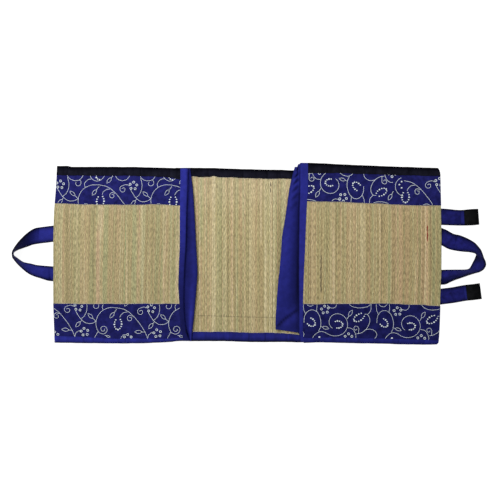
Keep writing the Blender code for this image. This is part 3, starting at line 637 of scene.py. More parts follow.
def reed_panel(name, panel, ends, stripes, panel_light, contrast, flip, seed):
    rng = np.random.default_rng(seed)
    start, stop = ends
    length = abs(float(panel.x(stop, 0.0) - panel.x(start, 0.0)))
    count = round(length / STALK_PITCH)
    share = (np.arange(count) + 0.5)[:, None] / count
    u_mid = panel.u(panel.x(start, 0.0) + (panel.x(stop, 0.0) - panel.x(start, 0.0)) * share, np.zeros_like(share))
    low = panel.edge("low_y", u_mid) + STALK_INSET
    high = panel.edge("high_y", u_mid) - STALK_INSET
    # Every cut lies on a thread or halfway between two, so the weave keeps its shape all along a stalk.
    step = THREAD_PITCH / 2
    lowest, highest = math.ceil((low.max() + THREAD_INSET) / step), math.floor((high.min() - THREAD_INSET) / step)
    levels = np.arange(lowest, highest + 1) * step
    obj = row_of_stalks(name, count, len(levels))
    co = np.empty(len(obj.data.vertices) * 3)
    obj.data.vertices.foreach_get("co", co)
    co = co.reshape(-1, 3)
    stalk = np.rint(co[:, 0] / ARRAY_STEP).astype(int)
    order = np.argsort(stalk, kind="stable")
    side = (co[order, 0] - stalk[order] * ARRAY_STEP).reshape(count, -1)
    rise = co[order, 2].reshape(count, -1)
    level = np.rint((co[order, 1].reshape(count, -1) + 1) / 2 * (len(levels) + 1)).astype(int)
    y = np.hstack([low, np.broadcast_to(levels, (count, len(levels))), high])
    y = np.take_along_axis(y, level, axis=1)
    first, last = panel.x(start, y), panel.x(stop, y)
    turn = rng.uniform(0, 2 * math.pi, (2, count, 1))
    wander = 0.08 * np.sin(y * 17 + turn[0]) + 0.05 * np.sin(y * 47 + turn[1])
    wander += 0.22 * soft(rng.normal(size=count), 4)[:, None] * np.sin(y * 8 + turn[0][0])
    pitch = (last - first) / count
    x = first + pitch * ((np.arange(count) + 0.5)[:, None] + wander)
    flips = np.cumsum(rng.random(count) < flip)
    drift = 0.5 * np.sin(np.arange(count) * 0.11 + seed) + rng.normal(scale=0.45, size=count)
    phases = (flips % 2) * math.pi + drift
    weave_wave = np.cos(math.pi * y / THREAD_PITCH + phases[:, None])
    # A six-sided stalk is narrower than its radius says, so each one is wide enough to meet both neighbours.
    gap = np.abs(np.diff(x, axis=0)).max(axis=1)
    width = np.maximum(np.append(gap, 0), np.append(0, gap))[:, None] * 0.5 * rng.uniform(1.18, 1.30, (count, 1))
    width = width * (1 + 0.02 * weave_wave)
    height = (REED / 2 - WEAVE_RISE) * rng.uniform(0.90, 0.985, (count, 1))
    ends_in = np.where((level == 0) | (level == len(levels) + 1), 0.6, 1)
    z = panel.edge("lift", panel.u(x, y)) + REED / 2 + height * rise * ends_in + WEAVE_RISE * weave_wave
    co[order] = np.stack([x + width * side * ends_in, y, z], axis=-1).reshape(-1, 3) + SHIFT
    obj.data.vertices.foreach_set("co", co.ravel())
    strip = panel.end("strip", y) - 0.002 * np.sign(pitch) if stop == 2 else np.full_like(y, FAR_OFF)
    colors = np.ones((len(co), 4))
    tints = stalk_colors(x, y, strip, stripes, panel_light, contrast, rng)
    # Painted shade: each stalk is darker down its sides, so the places between stalks look shaded
    colors[order, :3] = (tints * (1.005 - 0.25 * side[..., None] ** 2)).reshape(-1, 3)
    tint = obj.data.attributes.new("stalk_color", "FLOAT_COLOR", "POINT")
    tint.data.foreach_set("color", colors.ravel())
    phase = obj.data.attributes.new("stalk_phase", "FLOAT", "POINT")
    # The material measures y in the frame, so the table's shift is taken off again here.
    values = np.empty(len(co))
    values[order] = np.repeat(phases - math.pi * SHIFT[1] / THREAD_PITCH, side.shape[1])
    phase.data.foreach_set("value", values)
    obj.data.materials.append(reed_finish)
    select_only(obj)
    bpy.ops.object.shade_smooth_by_angle(angle=math.radians(70))
    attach(obj, "root")
    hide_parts(name.replace("woven_", ""))
    print(name, count, "stalks,", len(obj.data.polygons), "faces")


# After each panel's stripes comes its painted light level, which makes the middle panel lightest
reed_panel("woven_outer_panel_left", left, (0, 2), LEFT_STRIPES, (0.835, 0.848, 0.842), 0.98, 0.80, 11)
reed_panel("woven_middle_panel", middle, (0, 1), MIDDLE_STRIPES, (0.920, 0.920, 0.900), 1.40, 0.70, 12)
reed_panel("woven_outer_panel_right", right, (0, 2), RIGHT_STRIPES, (0.895, 0.875, 0.840), 1.62, 0.62, 13)

# %% [markdown]
# ## Sheets of cloth
# Each cloth starts as a grid with one small square for every few millimetres. Its points are then laid where the
# cloth lies, its UV map is given real lengths so that the weave keeps its size, and Solidify gives it its thickness.

# %% A sheet from a grid
def sheet_piece(name, points, thickness, finish, replaced=(), angle=50, *, painted_light_and_tone):
    rows, columns = points.shape[:2]
    bpy.ops.object.select_all(action="DESELECT")
    bpy.ops.mesh.primitive_grid_add(x_subdivisions=columns - 1, y_subdivisions=rows - 1, size=2, calc_uvs=True)
    obj = bpy.context.object
    obj.name = obj.data.name = name
    mesh = obj.data
    co = np.empty(len(mesh.vertices) * 3)
    mesh.vertices.foreach_get("co", co)
    co = co.reshape(-1, 3)
    column = np.rint((co[:, 0] + 1) / 2 * (columns - 1)).astype(int)
    row = np.rint((co[:, 1] + 1) / 2 * (rows - 1)).astype(int)
    mesh.vertices.foreach_set("co", (points[row, column] + SHIFT).ravel())
    across = np.linalg.norm(np.diff(points, axis=1), axis=2).mean(axis=0)
    down = np.linalg.norm(np.diff(points, axis=0), axis=2).mean(axis=1)
    u = np.concatenate([[0], np.cumsum(across)])[column]
    v = np.concatenate([[0], np.cumsum(down)])[row]
    corners = np.empty(len(mesh.loops), dtype=int)
    mesh.loops.foreach_get("vertex_index", corners)
    mesh.uv_layers.active.data.foreach_set("uv", np.column_stack([u, v])[corners].ravel())
    # Each point keeps its painted light and shade, with some random tone, for the material
    lightness = mesh.attributes.new("painted_light_and_tone", "FLOAT", "POINT")
    values = np.broadcast_to(painted_light_and_tone, (rows, columns))[row, column]
    lightness.data.foreach_set("value", values.astype(np.float32))
    mesh.materials.append(finish)
    thicken = obj.modifiers.new("thickness", "SOLIDIFY")
    thicken.thickness = thickness
    thicken.offset = 0
    bpy.ops.object.modifier_apply(modifier=thicken.name)
    bpy.ops.object.mode_set(mode="EDIT")
    bpy.ops.mesh.select_all(action="SELECT")
    bpy.ops.mesh.normals_make_consistent(inside=False)
    bpy.ops.object.mode_set(mode="OBJECT")
    bpy.ops.object.shade_smooth_by_angle(angle=math.radians(angle))
    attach(obj, "root")
    if replaced:
        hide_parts(*replaced)
    print(name, len(mesh.polygons), "faces,", (np.ptp(points.reshape(-1, 3), axis=0) * 1000).round().astype(int), "mm")
    return obj


def ripple(along, seed, sizes, amounts):
    """Uneven soft waves, each of its own length in metres and height."""
    rng = np.random.default_rng(seed)
    total = np.zeros_like(np.asarray(along, float))
    for size, amount in zip(sizes, amounts):
        for part in (1.0, 0.62, 1.37):
            total = total + amount / 1.7 * np.sin(2 * math.pi * along / (size * part) + rng.uniform(0, 6.28))
    return total


# %% [markdown]
# ## Printed bands
# A band is folded under along its inner edge and sewn flat on the reed, so it is nearly straight, with faint puckers
# at the stitches and soft waves between them.

# %% The four printed bands
BAND_STATIONS = 150
BAND_ROWS = 26
BAND_SHEET = 0.0007  # how thick a band is shown
BAND_LIFT = 0.00018  # of its middle over its solid's middle
TUCK = 1.12  # the u to which bands and bindings run on beneath a hinge cloth
BAND_WIDTH = 0.11  # roughly, for what lies near a band's sewn edge


def band_limits(panel, upper_side, u):
    """The y of a band's inner edge and of the binding's flap that covers its outer edge."""
    edge_y, width, inward = panel.rim(upper_side, u)
    flap = edge_y + inward * width
    return flap + inward * panel.edge("high_band" if upper_side else "low_band", u), flap


def sewn_edge(panel, upper_side, u, seed):
    """The y of a band's inner edge with its slight waves, and the x of each place on it."""
    inner, _ = band_limits(panel, upper_side, u)
    x_along = panel.x(u, inner)
    return inner + ripple(x_along, seed, (0.110, 0.031), (0.0005, 0.00025)), x_along


def band_point(panel, upper_side, u, t, seed):
    """A point on a band's middle surface. t runs from its inner edge at 0 to the covered flap at 1."""
    inner, x_along = sewn_edge(panel, upper_side, u, seed)
    y = inner + (band_limits(panel, upper_side, u)[1] - inner) * t
    from_edge = t * BAND_WIDTH
    wave = ripple(x_along + 0.3 * y, seed + 1, (0.075, 0.026), (0.00012, 0.00006)) * (1 - bell(from_edge, 0.004))
    pucker = 0.00007 * np.sin(2 * math.pi * x_along / 0.0042) * bell(from_edge - 0.002, 0.003)
    return panel.at(u, y, BAND_BASE + CLOTH / 2 + BAND_LIFT + wave + pucker)


def printed_band(name, panel, upper_side, seed, painted_light_and_tone):
    u = np.linspace(0, TUCK, BAND_STATIONS)[None, :]
    inner, flap = band_limits(panel, upper_side, u)
    tucked = (panel.rim(upper_side, u)[1] - 0.003).clip(0.001, 0.014) / np.abs(flap - inner)
    t = np.concatenate([np.linspace(0, 1, BAND_ROWS)[:, None] + 0 * u, 1 + tucked / 2, 1 + tucked])
    points = band_point(panel, upper_side, u + 0 * t, t, seed)
    node = name.replace("sewn_", "")
    obj = sheet_piece(name, points, BAND_SHEET, print_ground, (node,), painted_light_and_tone=painted_light_and_tone)


# The last number is each band's painted light level: the lower bands and the right ones are painted darker
BANDS = (
    ("sewn_print_band_left_lower", left, False, 21, 0.77),
    ("sewn_print_band_left_upper", left, True, 24, 0.90),
    ("sewn_print_band_right_lower", right, False, 27, 0.66),
    ("sewn_print_band_right_upper", right, True, 30, 0.86),
)
for band in BANDS:
    printed_band(*band)

# %% [markdown]
# ## The print
# Vines, curls, leaves, five-petal flowers and rows of beads repeat along the cloth. They are drawn here as curves
# with a flat lens-shaped section, because a printed line of paste stands a little proud of the cloth. Each band shows
# another part of the pattern, so each has its own starting place.

# %% Strokes of the pattern
REPEAT = 0.2605  # length of the pattern along the cloth
LINE = 0.00072  # half the width of a printed line
PETAL_LINE = 0.00118
FLOWER = 12.6  # millimetres from a flower's middle to its petals
SAMPLE = 0.0024  # between the points of a drawn line


def distances(points):
    """How far along a line each of its points is."""
    return np.concatenate([[0], np.cumsum(np.linalg.norm(np.diff(points, axis=0), axis=1))])


def read_along(at, along, values):
    """The rows of values at other distances along."""
    return np.column_stack([np.interp(at, along, column) for column in values.T])


def curve_through(points, steps):
    """A smooth curve through a few points, in short steps from each to the next."""
    ends = np.vstack([2 * points[0] - points[1], points, 2 * points[-1] - points[-2]])
    fine = []
    for p0, p1, p2, p3 in zip(ends, ends[1:], ends[2:], ends[3:]):
        t = np.linspace(0, 1, steps, endpoint=False)[:, None]
        turn = (2 * p0 - 5 * p1 + 4 * p2 - p3) * t**2 + (3 * p1 - p0 - 3 * p2 + p3) * t**3
        fine.append((2 * p1 + (p2 - p0) * t + turn) / 2)
    return np.vstack([*fine, points[-1:]])


def smooth_line(points, spacing=SAMPLE):
    """Evenly spaced points on a smooth curve through a few given ones."""
    fine = curve_through(np.array(points, float), 12)
    along = distances(fine)
    return read_along(np.linspace(0, along[-1], max(3, int(along[-1] / spacing) + 1)), along, fine)


def vine(*points):
    return [(smooth_line(np.array(points) / 1000), LINE)]


def scroll(s, t, heading, wide, tight, turn):
    """A tendril that leaves a vine at (s, t) and winds up, from radius wide to tight, over turn degrees."""
    steps = max(8, int(abs(turn) / 13))
    angles = math.radians(heading) + np.linspace(0, math.radians(turn), steps + 1)
    radii = wide + (tight - wide) * np.linspace(0, 1, steps) ** 0.8
    length = radii * abs(math.radians(turn)) / steps
    middle = (angles[:-1] + angles[1:]) / 2
    step = np.column_stack([np.cos(middle), np.sin(middle)]) * length[:, None]
    return [(np.vstack([[s, t], [s, t] + np.cumsum(step, axis=0)]) / 1000, LINE)]


def ahead_and_aside(angle):
    lead = math.radians(angle)
    return np.array([math.cos(lead), math.sin(lead)]), np.array([-math.sin(lead), math.cos(lead)])


def leaf(s, t, length, angle, stalk):
    """An almond outline on a short stalk."""
    share = np.linspace(0, 1, 9)
    half = 0.23 * length * np.sin(math.pi * share) ** 0.8 * (1.12 - 0.35 * share)
    ahead, aside = ahead_and_aside(angle)
    base = np.array([s, t]) + np.outer(share * length, ahead)
    outline = np.vstack([base + np.outer(half, aside), (base - np.outer(half, aside))[-2::-1]])
    stem = np.array([np.array([s, t]) - ahead * stalk, np.array([s, t])])
    return [(outline / 1000, LINE), (stem / 1000, LINE)]


def dot(s, t, radius):
    share = np.array([-1, -0.75, 0, 0.75, 1])
    return (np.column_stack([s + share * radius, t + 0 * share]) / 1000, radius / 1000)


def petal(s, t, radius):
    """A small printed ring, its line thick enough to leave only a speck of ground inside."""
    turn = np.linspace(0, 2 * math.pi, 10)
    return (np.column_stack([s + radius * np.cos(turn), t + radius * np.sin(turn)]) / 1000, PETAL_LINE)


def flower(s, t, lean=90.0):
    turn = np.radians(np.arange(5) * 72 + lean)
    return [petal(s + FLOWER * math.cos(a), t + FLOWER * math.sin(a), 0.29 * FLOWER) for a in turn]


def berries(s, t, length, width, angle, first=1, last=12):
    """Beads round a slim pointed loop, open at the end where its stalk comes in."""
    ahead, aside = ahead_and_aside(angle)
    made = []
    for k in range(first, last):
        a = 2 * math.pi * (k + 0.12 * math.sin(7.3 * k)) / 12.5
        along, out = length / 2 * math.cos(a), width / 2 * math.sin(a)
        place = np.array([s, t]) - ahead * along + aside * out
        made.append(dot(*place, 3.1 if k % 3 == 0 else 2.4))
    return made


# %% The two parts of the pattern that show, in millimetres along and across the cloth
BESIDE_ARCH = [
    *vine((73, 109), (103, 102), (130, 82), (154, 54), (172, 27), (184, 0), (190, -22)),
    *vine((112, 94), (99, 92), (89, 84), (84, 74)),
    *berries(78, 51, 40, 26, 264),
    *vine((131, 78), (121, 82)),
    *scroll(121, 82, 188, 12, 4, 390),
    *leaf(164, 22, 26, 178, 13),
    *vine((-1, 58), (-16, 50), (-36, 50), (-54, 62), (-67, 80), (-76, 96)),
    *flower(-64, 106, lean=84),
    *vine((-77, 106), (-90, 110), (-102, 107)),
    *scroll(-102, 107, 192, 14, 4, 430),
]
ARCHES = [
    *BESIDE_ARCH,
    *vine((22, 14), (9, 20), (1, 36), (-1, 56), (6, 78), (21, 96), (45, 107), (73, 109)),
    *scroll(22, 14, -4, 17, 4, 500),
    *vine((7, 22), (-1, 9), (-9, -8)),
    *leaf(36, 8, 15, -18, 6),
    *vine((-55, 64), (-43, 74), (-35, 91), (-33, 111), (-38, 132)),
    *vine((-42, 146), (-33, 130), (-14, 122), (5, 126), (17, 141)),
    *scroll(4, 125, -38, 14, 6, -290),
    *vine((24, 99), (22, 113), (33, 126), (48, 130)),
    *vine((39, 146), (48, 130), (65, 122), (82, 128), (93, 140)),
    *berries(80, 139, 34, 24, 190, 4, 8),
    *leaf(117, 134, 25, 230, 10),
    *vine((129, 150), (138, 132), (156, 124), (175, 130), (187, 148)),
    *leaf(64, 91, 25, 232, 16),
    *leaf(-12, 68, 24, 138, 15),
    *leaf(-57, 53, 25, 230, 9),
    *vine((184, -2), (188, 12), (198, 20), (206, 19)),
    *flower(219, 18, lean=100),
    *vine((86, -18), (88, 0), (97, 12), (106, 13)),
    *flower(113, 1),
]
SWIRLS = [
    *vine((-36, -12), (-24, 8), (-6, 20), (12, 18), (28, 9), (44, 5), (55, 5)),
    *scroll(55, 5, 5, 46, 25, 322),
    *berries(60, 45, 34, 25, 4, 2, 11),
    *leaf(99, 76, 25, 60, 12),
    *vine((95, 35), (108, 33), (118, 24), (124, 8), (124, -10)),
    *flower(98, 1),
    *berries(136, 72, 42, 23, 212, 1, 12),
    *vine((126, 14), (143, 18), (161, 31), (173, 52), (174, 70), (166, 83), (155, 84)),
    *vine((166, 83), (178, 98), (179, 124)),
    *vine((134, 16), (135, 32)),
    *scroll(135, 32, 94, 11, 4, 360),
    *vine((158, 29), (176, 32), (192, 26), (200, 12), (191, -2), (176, -3)),
    *vine((252, 21), (259, 40), (259, 62), (250, 86), (232, 98), (213, 93), (202, 75), (200, 54)),
    *berries(224, 55, 36, 25, -42, 2, 11),
    *vine((206, 84), (199, 100), (198, 124)),
    *vine((244, 92), (246, 108), (245, 124)),
    *leaf(266, 36, 23, -16, 6),
    *flower(14, 97, lean=95),
    *vine((22, 112), (32, 104), (45, 103), (54, 111), (56, 124)),
    *vine((96, 124), (110, 111), (138, 106), (166, 111), (180, 124)),
    *vine((206, 124), (214, 114), (228, 112), (240, 124)),
    dot(-6, 1, 3.4),
]
TURNED_SWIRLS = [(line * [-1, -1] + [0, 0.112], half) for line, half in SWIRLS]
# A half swirl fills the place where the two parts of the pattern meet on the right upper band.
MEETING = [*scroll(63, 119, 203, 36, 32, 150), dot(56, 94, 3.0), dot(64, 105, 3.0), dot(64, 83, 3.0)]
print("strokes:", len(ARCHES), len(SWIRLS))

# %% The strokes laid on the bands
PASTE_LIFT = 0.00040  # from a band's middle surface to the paste's middle
DOT_SHAPE = (0.25, 0.65, 1, 0.65, 0.25)  # how wide a dot is along its short line


def lens_profile():
    """The section of a printed line: a flat lens, 1 wide each way."""
    data = bpy.data.curves.new("paste section", "CURVE")
    data.dimensions = "2D"
    spline = data.splines.new("POLY")
    corners = [(1, 0), (0.55, 0.10), (-0.55, 0.10), (-1, 0), (-0.55, -0.06), (0.55, -0.06)]
    spline.points.add(len(corners) - 1)
    for point, (x, y) in zip(spline.points, corners):
        point.co = (x, y, 0, 1)
    spline.use_cyclic_u = True
    obj = bpy.data.objects.new("paste section", data)
    bpy.context.scene.collection.objects.link(obj)
    return obj


def inside_runs(line, inside):
    """The stretches of a stroke that lie on the band, cut at its edges."""
    flags = inside(line)
    runs, run = [], []
    for k in range(len(line)):
        if k and flags[k] != flags[k - 1]:
            a, b = (line[k], line[k - 1]) if flags[k] else (line[k - 1], line[k])
            for _ in range(7):
                half = (a + b) / 2
                a, b = (half, b) if inside(half[None])[0] else (a, half)
            run.append(a)
        if flags[k]:
            run.append(line[k])
        elif run:
            runs.append(np.array(run))
            run = []
    if run:
        runs.append(np.array(run))
    return [r for r in runs if len(r) > 1]


def curve_piece(curve, finish):
    """Makes a mesh piece of a curve."""
    obj = bpy.data.objects.new(curve.name, curve)
    bpy.context.scene.collection.objects.link(obj)
    select_only(obj)
    bpy.ops.object.convert(target="MESH")
    obj = bpy.context.object
    obj.data.materials.clear()
    obj.data.materials.append(finish)
    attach(obj, "root")
    print(obj.name, len(obj.data.polygons), "faces")


def band_print(name, band, weight, *parts):
    """Repeats strokes along a band. A band that took less paste has lines of less weight.

    Each part is (strokes, x of the pattern's zero, shift across, lowest x, highest x).
    """
    _, panel, upper_side, seed, _ = band
    curve = bpy.data.curves.new(name, "CURVE")
    curve.dimensions = "3D"
    curve.twist_mode = "Z_UP"
    curve.bevel_mode = "OBJECT"
    curve.bevel_object = PASTE_SECTION
    curve.use_fill_caps = True

    def on_cloth(line):
        x, t = line[:, 0], line[:, 1]
        inner, flap = band_limits(panel, upper_side, panel.u(x, np.zeros_like(x)))
        y = np.minimum(inner, flap) + t
        return panel.u(x, y), (y - inner) / (flap - inner), np.abs(flap - inner)

    def inside(line):
        u, t, width = on_cloth(line)
        return (u > 0.003) & (u < 1.0) & (t > 0.0012 / width) & (t < 1.01)

    runs = []
    for strokes, start, shift, lowest, highest in parts:
        for turn in range(math.floor((lowest - start) / REPEAT) - 1, math.ceil((highest - start) / REPEAT) + 2):
            for line, half in strokes:
                moved = line + np.array([start + turn * REPEAT, shift])
                if lowest < moved[:, 0].mean() < highest:
                    runs += [(run, half) for run in inside_runs(moved, inside)]
    for run, half in runs:
        u, t, _ = on_cloth(run)
        placed = band_point(panel, upper_side, u, t, seed) + SHIFT
        spline = curve.splines.new("POLY")
        spline.points.add(len(placed) - 1)
        is_dot = half > LINE * 1.1 and len(placed) == len(DOT_SHAPE)
        for point, place, end in zip(spline.points, placed, DOT_SHAPE if is_dot else [weight] * len(placed)):
            point.co = (place[0], place[1], place[2] + PASTE_LIFT, 1)
            point.radius = half * end
    curve_piece(curve, print_paste)


PASTE_SECTION = lens_profile()
band_print("print_on_left_lower_band", BANDS[0], 0.83, (ARCHES, -0.5466, 0.0, -0.8, -0.1))
band_print("print_on_left_upper_band", BANDS[1], 0.85, (ARCHES, -0.610, -0.039, -0.8, -0.1))
band_print("print_on_right_lower_band", BANDS[2], 0.84, (SWIRLS, 0.250, 0.0, 0.1, 0.8))
band_print(
    "print_on_right_upper_band", BANDS[3], 1.0,
    (TURNED_SWIRLS, 0.0815, 0.0, 0.1, 0.525),
    (MEETING, 0.475, -0.023, 0.5, 0.6),
    (BESIDE_ARCH, 0.475, -0.023, 0.525, 0.8),
)
bpy.data.objects.remove(PASTE_SECTION)

# %% [markdown]
# ## Bindings
# A binding is one strip of cloth folded over a long edge, black at one side of the mat and blue at the other. Its
# section runs from the flap beneath the reed, round the edge, to the flap on top, and small folds cross it where the
# sewing took up spare cloth.

# %% The six bindings
BINDING_STATIONS = 170
BINDING_SHEET = 0.0008  # how thick a binding is shown
BEND_POINTS = 11  # round the folded edge
FOLDS_ACROSS = {
    "blue_binding_middle": (-0.0729, -0.0036, 0.0551, 0.1316),
    "black_binding_middle": (-0.1494, -0.0249, 0.0605, 0.1067),
    "black_binding_left": (-0.6459, -0.5240, -0.3880, -0.2830),
    "blue_binding_left": (-0.5900, -0.4420, -0.3010),
    "black_binding_right": (0.2700, 0.4010, 0.5560),
    "blue_binding_right": (0.2450, 0.3420, 0.5230, 0.6120),
}


def binding_section(width, flap_base):
    """Distance in from the outer edge and height, along the middle of the folded cloth."""
    low, high = CLOTH / 2, flap_base + CLOTH / 2
    radius = (high - low) / 2
    turn = np.linspace(-math.pi / 2, math.pi / 2, BEND_POINTS)
    bend = [(CLOTH / 2 + radius - radius * math.cos(a), (low + high) / 2 + radius * math.sin(a)) for a in turn]
    beneath = [(0.0230, low), (0.0170, low), (0.0100, low)]
    start, stop = CLOTH / 2 + radius, width - 0.0008
    above = [(share * stop + (1 - share) * start, high) for share in (0.25, 0.5, 0.75, 0.93)]
    return [*beneath, *bend, *above, (width - 0.0004, high - 0.0001)]


def binding(name, panel, upper_side, ends, finish, seed, edge_shade, edge_reach, painted_light_level=1.0):
    node = name.replace("folded_", "")
    rows, painted_light_rows = [], []
    for u in np.linspace(*ends, BINDING_STATIONS):
        edge_y, width, inward = panel.rim(upper_side, u)
        x = panel.x(u, edge_y)
        across, height = np.array(binding_section(width, panel.flap)).T
        top = height > panel.flap
        reach = np.clip((across - 0.004) / (width - 0.004), 0, 1) * top
        inset = across + ripple(x, seed, (0.14, 0.034), (0.0006, 0.0004)) * reach
        inset = inset + (1 - reach) * ripple(x, seed + 3, (0.12, 0.043), (0.00022, 0.00014))
        height = height + ripple(x + 0.2 * inset, seed + 1, (0.06, 0.017), (0.00010, 0.00006)) * top
        # Painted light and shade: the binding's own light level, painted shade along its rolled edge and a little at
        # its flap's edge
        painted_light_and_tone = painted_light_level * (1 - edge_shade * bell(across, edge_reach)) * (1 - 0.20 * bell(across - width, 0.0030))
        for fold in FOLDS_ACROSS[node]:
            height = height - top * (0.00055 * bell(x - fold, 0.0016) - 0.00035 * bell(x - fold - 0.0045, 0.0024))
            # Painted shadow in each fold, and a painted highlight just beside it
            painted_light_and_tone = painted_light_and_tone * (1 - 0.40 * bell(x - fold, 0.0020) + 0.18 * bell(x - fold - 0.0045, 0.0026))
        # Then a slow random change of tone along the binding
        painted_light_rows.append(painted_light_and_tone * (1 + ripple(x, seed + 5, (0.05, 0.013), (0.10, 0.05))))
        rows.append(panel.at(u, edge_y + inward * inset, height))
    points = np.array(rows)
    obj = sheet_piece(name, points, BINDING_SHEET, finish, (node,), angle=60, painted_light_and_tone=np.array(painted_light_rows))


# After the seed: how dark the painted shade along the rolled edge is, how far it reaches, and the binding's painted
# light level
binding("folded_black_binding_left", left, True, (0, TUCK), plain_black, 41, 0.96, 0.0095)
binding("folded_black_binding_middle", middle, True, (0, 1), plain_black, 42, 0.94, 0.0090)
binding("folded_black_binding_right", right, True, (0, TUCK), plain_black, 43, 0.96, 0.0110)
binding("folded_blue_binding_left", left, False, (0, TUCK), plain_blue, 44, 0.80, 0.0070, 1.08)
binding("folded_blue_binding_middle", middle, False, (0, 1), plain_blue, 45, 0.95, 0.0100, 0.80)
binding("folded_blue_binding_right", right, False, (0, TUCK), plain_blue, 46, 0.64, 0.0085, 0.84)

# %% [markdown]
# ## Hinge cloths
# A hinge cloth is sewn on top of an outer panel's inner end. It drops beside that panel into a hollow, runs out over
# the middle panel to a soft fold, and goes back beneath itself to the middle panel's end. It is modelled section by
# section, and the creases in it are placed one by one.

# %% Where the hinge cloths lie
HINGE = 0.0012  # thickness of a hinge cloth
HINGE_SHEET = 0.0010  # how thick it is shown
EDGE_CLEARANCE = 0.003  # from a panel's end to the cloth that drops beside it
RETURN_HEIGHT = 0.0064  # of the part that goes back beneath
BEND_WEIGHT = 1.2  # how strongly a section's points gather at its bends
LEFT_HINGE = table("strip_y hollow_y rim_y rim_x hollow_z crest_z", [
    (-0.3205, -0.3217, -0.3228, -0.2076, 0.0096, 0.0120),
    (-0.2990, -0.2995, -0.3000, -0.2056, 0.0094, 0.0135),
    (-0.2540, -0.2545, -0.2550, -0.2006, 0.0092, 0.0150),
    (-0.1760, -0.1765, -0.1770, -0.1936, 0.0094, 0.0155),
    (-0.1230, -0.1235, -0.1240, -0.1892, 0.0096, 0.0155),
    (-0.0780, -0.0780, -0.0780, -0.1866, 0.0096, 0.0155),
    (0.0350, 0.0350, 0.0354, -0.1920, 0.0098, 0.0150),
    (0.1340, 0.1340, 0.1345, -0.1973, 0.0100, 0.0145),
    (0.2120, 0.2125, 0.2130, -0.2026, 0.0104, 0.0135),
    (0.2570, 0.2575, 0.2580, -0.2079, 0.0108, 0.0125),
    (0.2877, 0.2882, 0.2892, -0.2126, 0.0110, 0.0120),
])
RIGHT_HINGE = table("strip_y hollow_y rim_y rim_x hollow_z crest_z", [
    (-0.3210, -0.2940, -0.2820, 0.0909, 0.0100, 0.0130),
    (-0.2850, -0.2620, -0.2476, 0.0909, 0.0094, 0.0150),
    (-0.2245, -0.2070, -0.1945, 0.0944, 0.0092, 0.0160),
    (-0.1660, -0.1530, -0.1410, 0.0979, 0.0092, 0.0160),
    (-0.0890, -0.0790, -0.0710, 0.1049, 0.0094, 0.0160),
    (-0.0310, -0.0230, -0.0180, 0.1096, 0.0096, 0.0158),
    (0.0390, 0.0430, 0.0460, 0.1139, 0.0098, 0.0156),
    (0.0970, 0.0990, 0.0990, 0.1227, 0.0100, 0.0154),
    (0.1625, 0.1620, 0.1590, 0.1315, 0.0104, 0.0152),
    (0.2275, 0.2240, 0.2190, 0.1404, 0.0110, 0.0150),
    (0.2780, 0.2730, 0.2650, 0.1509, 0.0118, 0.0155),
    (0.3056, 0.3046, 0.2940, 0.1588, 0.0126, 0.0165),
])
# Creases, each from one place to another: how deep, and how far it reaches to each side
CREASES = {
    "left": table("x1 y1 x2 y2 depth reach", [
        (-0.2435, -0.2000, -0.2400, -0.2650, -0.0014, 0.0030),
        (-0.2400, -0.2650, -0.2260, -0.2920, -0.0020, 0.0034),
        (-0.2260, -0.2920, -0.2180, -0.3080, -0.0016, 0.0034),
        (-0.2330, -0.2700, -0.2200, -0.3060, -0.0016, 0.0045),
        (-0.2080, -0.2000, -0.2140, -0.3060, 0.0010, 0.0060),
        (-0.2150, 0.2600, -0.2060, 0.1900, -0.0006, 0.0050),
        (-0.2170, 0.0700, -0.2020, 0.0200, -0.0004, 0.0090),
        (-0.2200, -0.0600, -0.1960, -0.1300, -0.0005, 0.0100),
    ]),
    "right": table("x1 y1 x2 y2 depth reach", [
        (0.1740, 0.2900, 0.1590, 0.2760, -0.0016, 0.0034),
        (0.1735, 0.2720, 0.1560, 0.2540, -0.0019, 0.0036),
        (0.1700, 0.2620, 0.1560, 0.2440, 0.0009, 0.0034),
        (0.1735, 0.2510, 0.1530, 0.2310, -0.0020, 0.0038),
        (0.1700, 0.2390, 0.1520, 0.2200, 0.0009, 0.0038),
        (0.1735, 0.2270, 0.1500, 0.2060, -0.0018, 0.0040),
        (0.1700, 0.2140, 0.1500, 0.1920, 0.0007, 0.0042),
        (0.1730, 0.2000, 0.1475, 0.1760, -0.0014, 0.0046),
        (0.1725, 0.1710, 0.1450, 0.1440, -0.0010, 0.0055),
        (0.1700, -0.2120, 0.1480, -0.2270, -0.0024, 0.0050),
        (0.1480, -0.2270, 0.1180, -0.2480, -0.0030, 0.0050),
        (0.1180, -0.2480, 0.0960, -0.2710, -0.0026, 0.0044),
        (0.1500, -0.2480, 0.1150, -0.2680, 0.0012, 0.0110),
        (0.1320, 0.0600, 0.1180, -0.0700, 0.0005, 0.0100),
        (0.1560, 0.0200, 0.1500, -0.1600, -0.0006, 0.0100),
    ]),
}


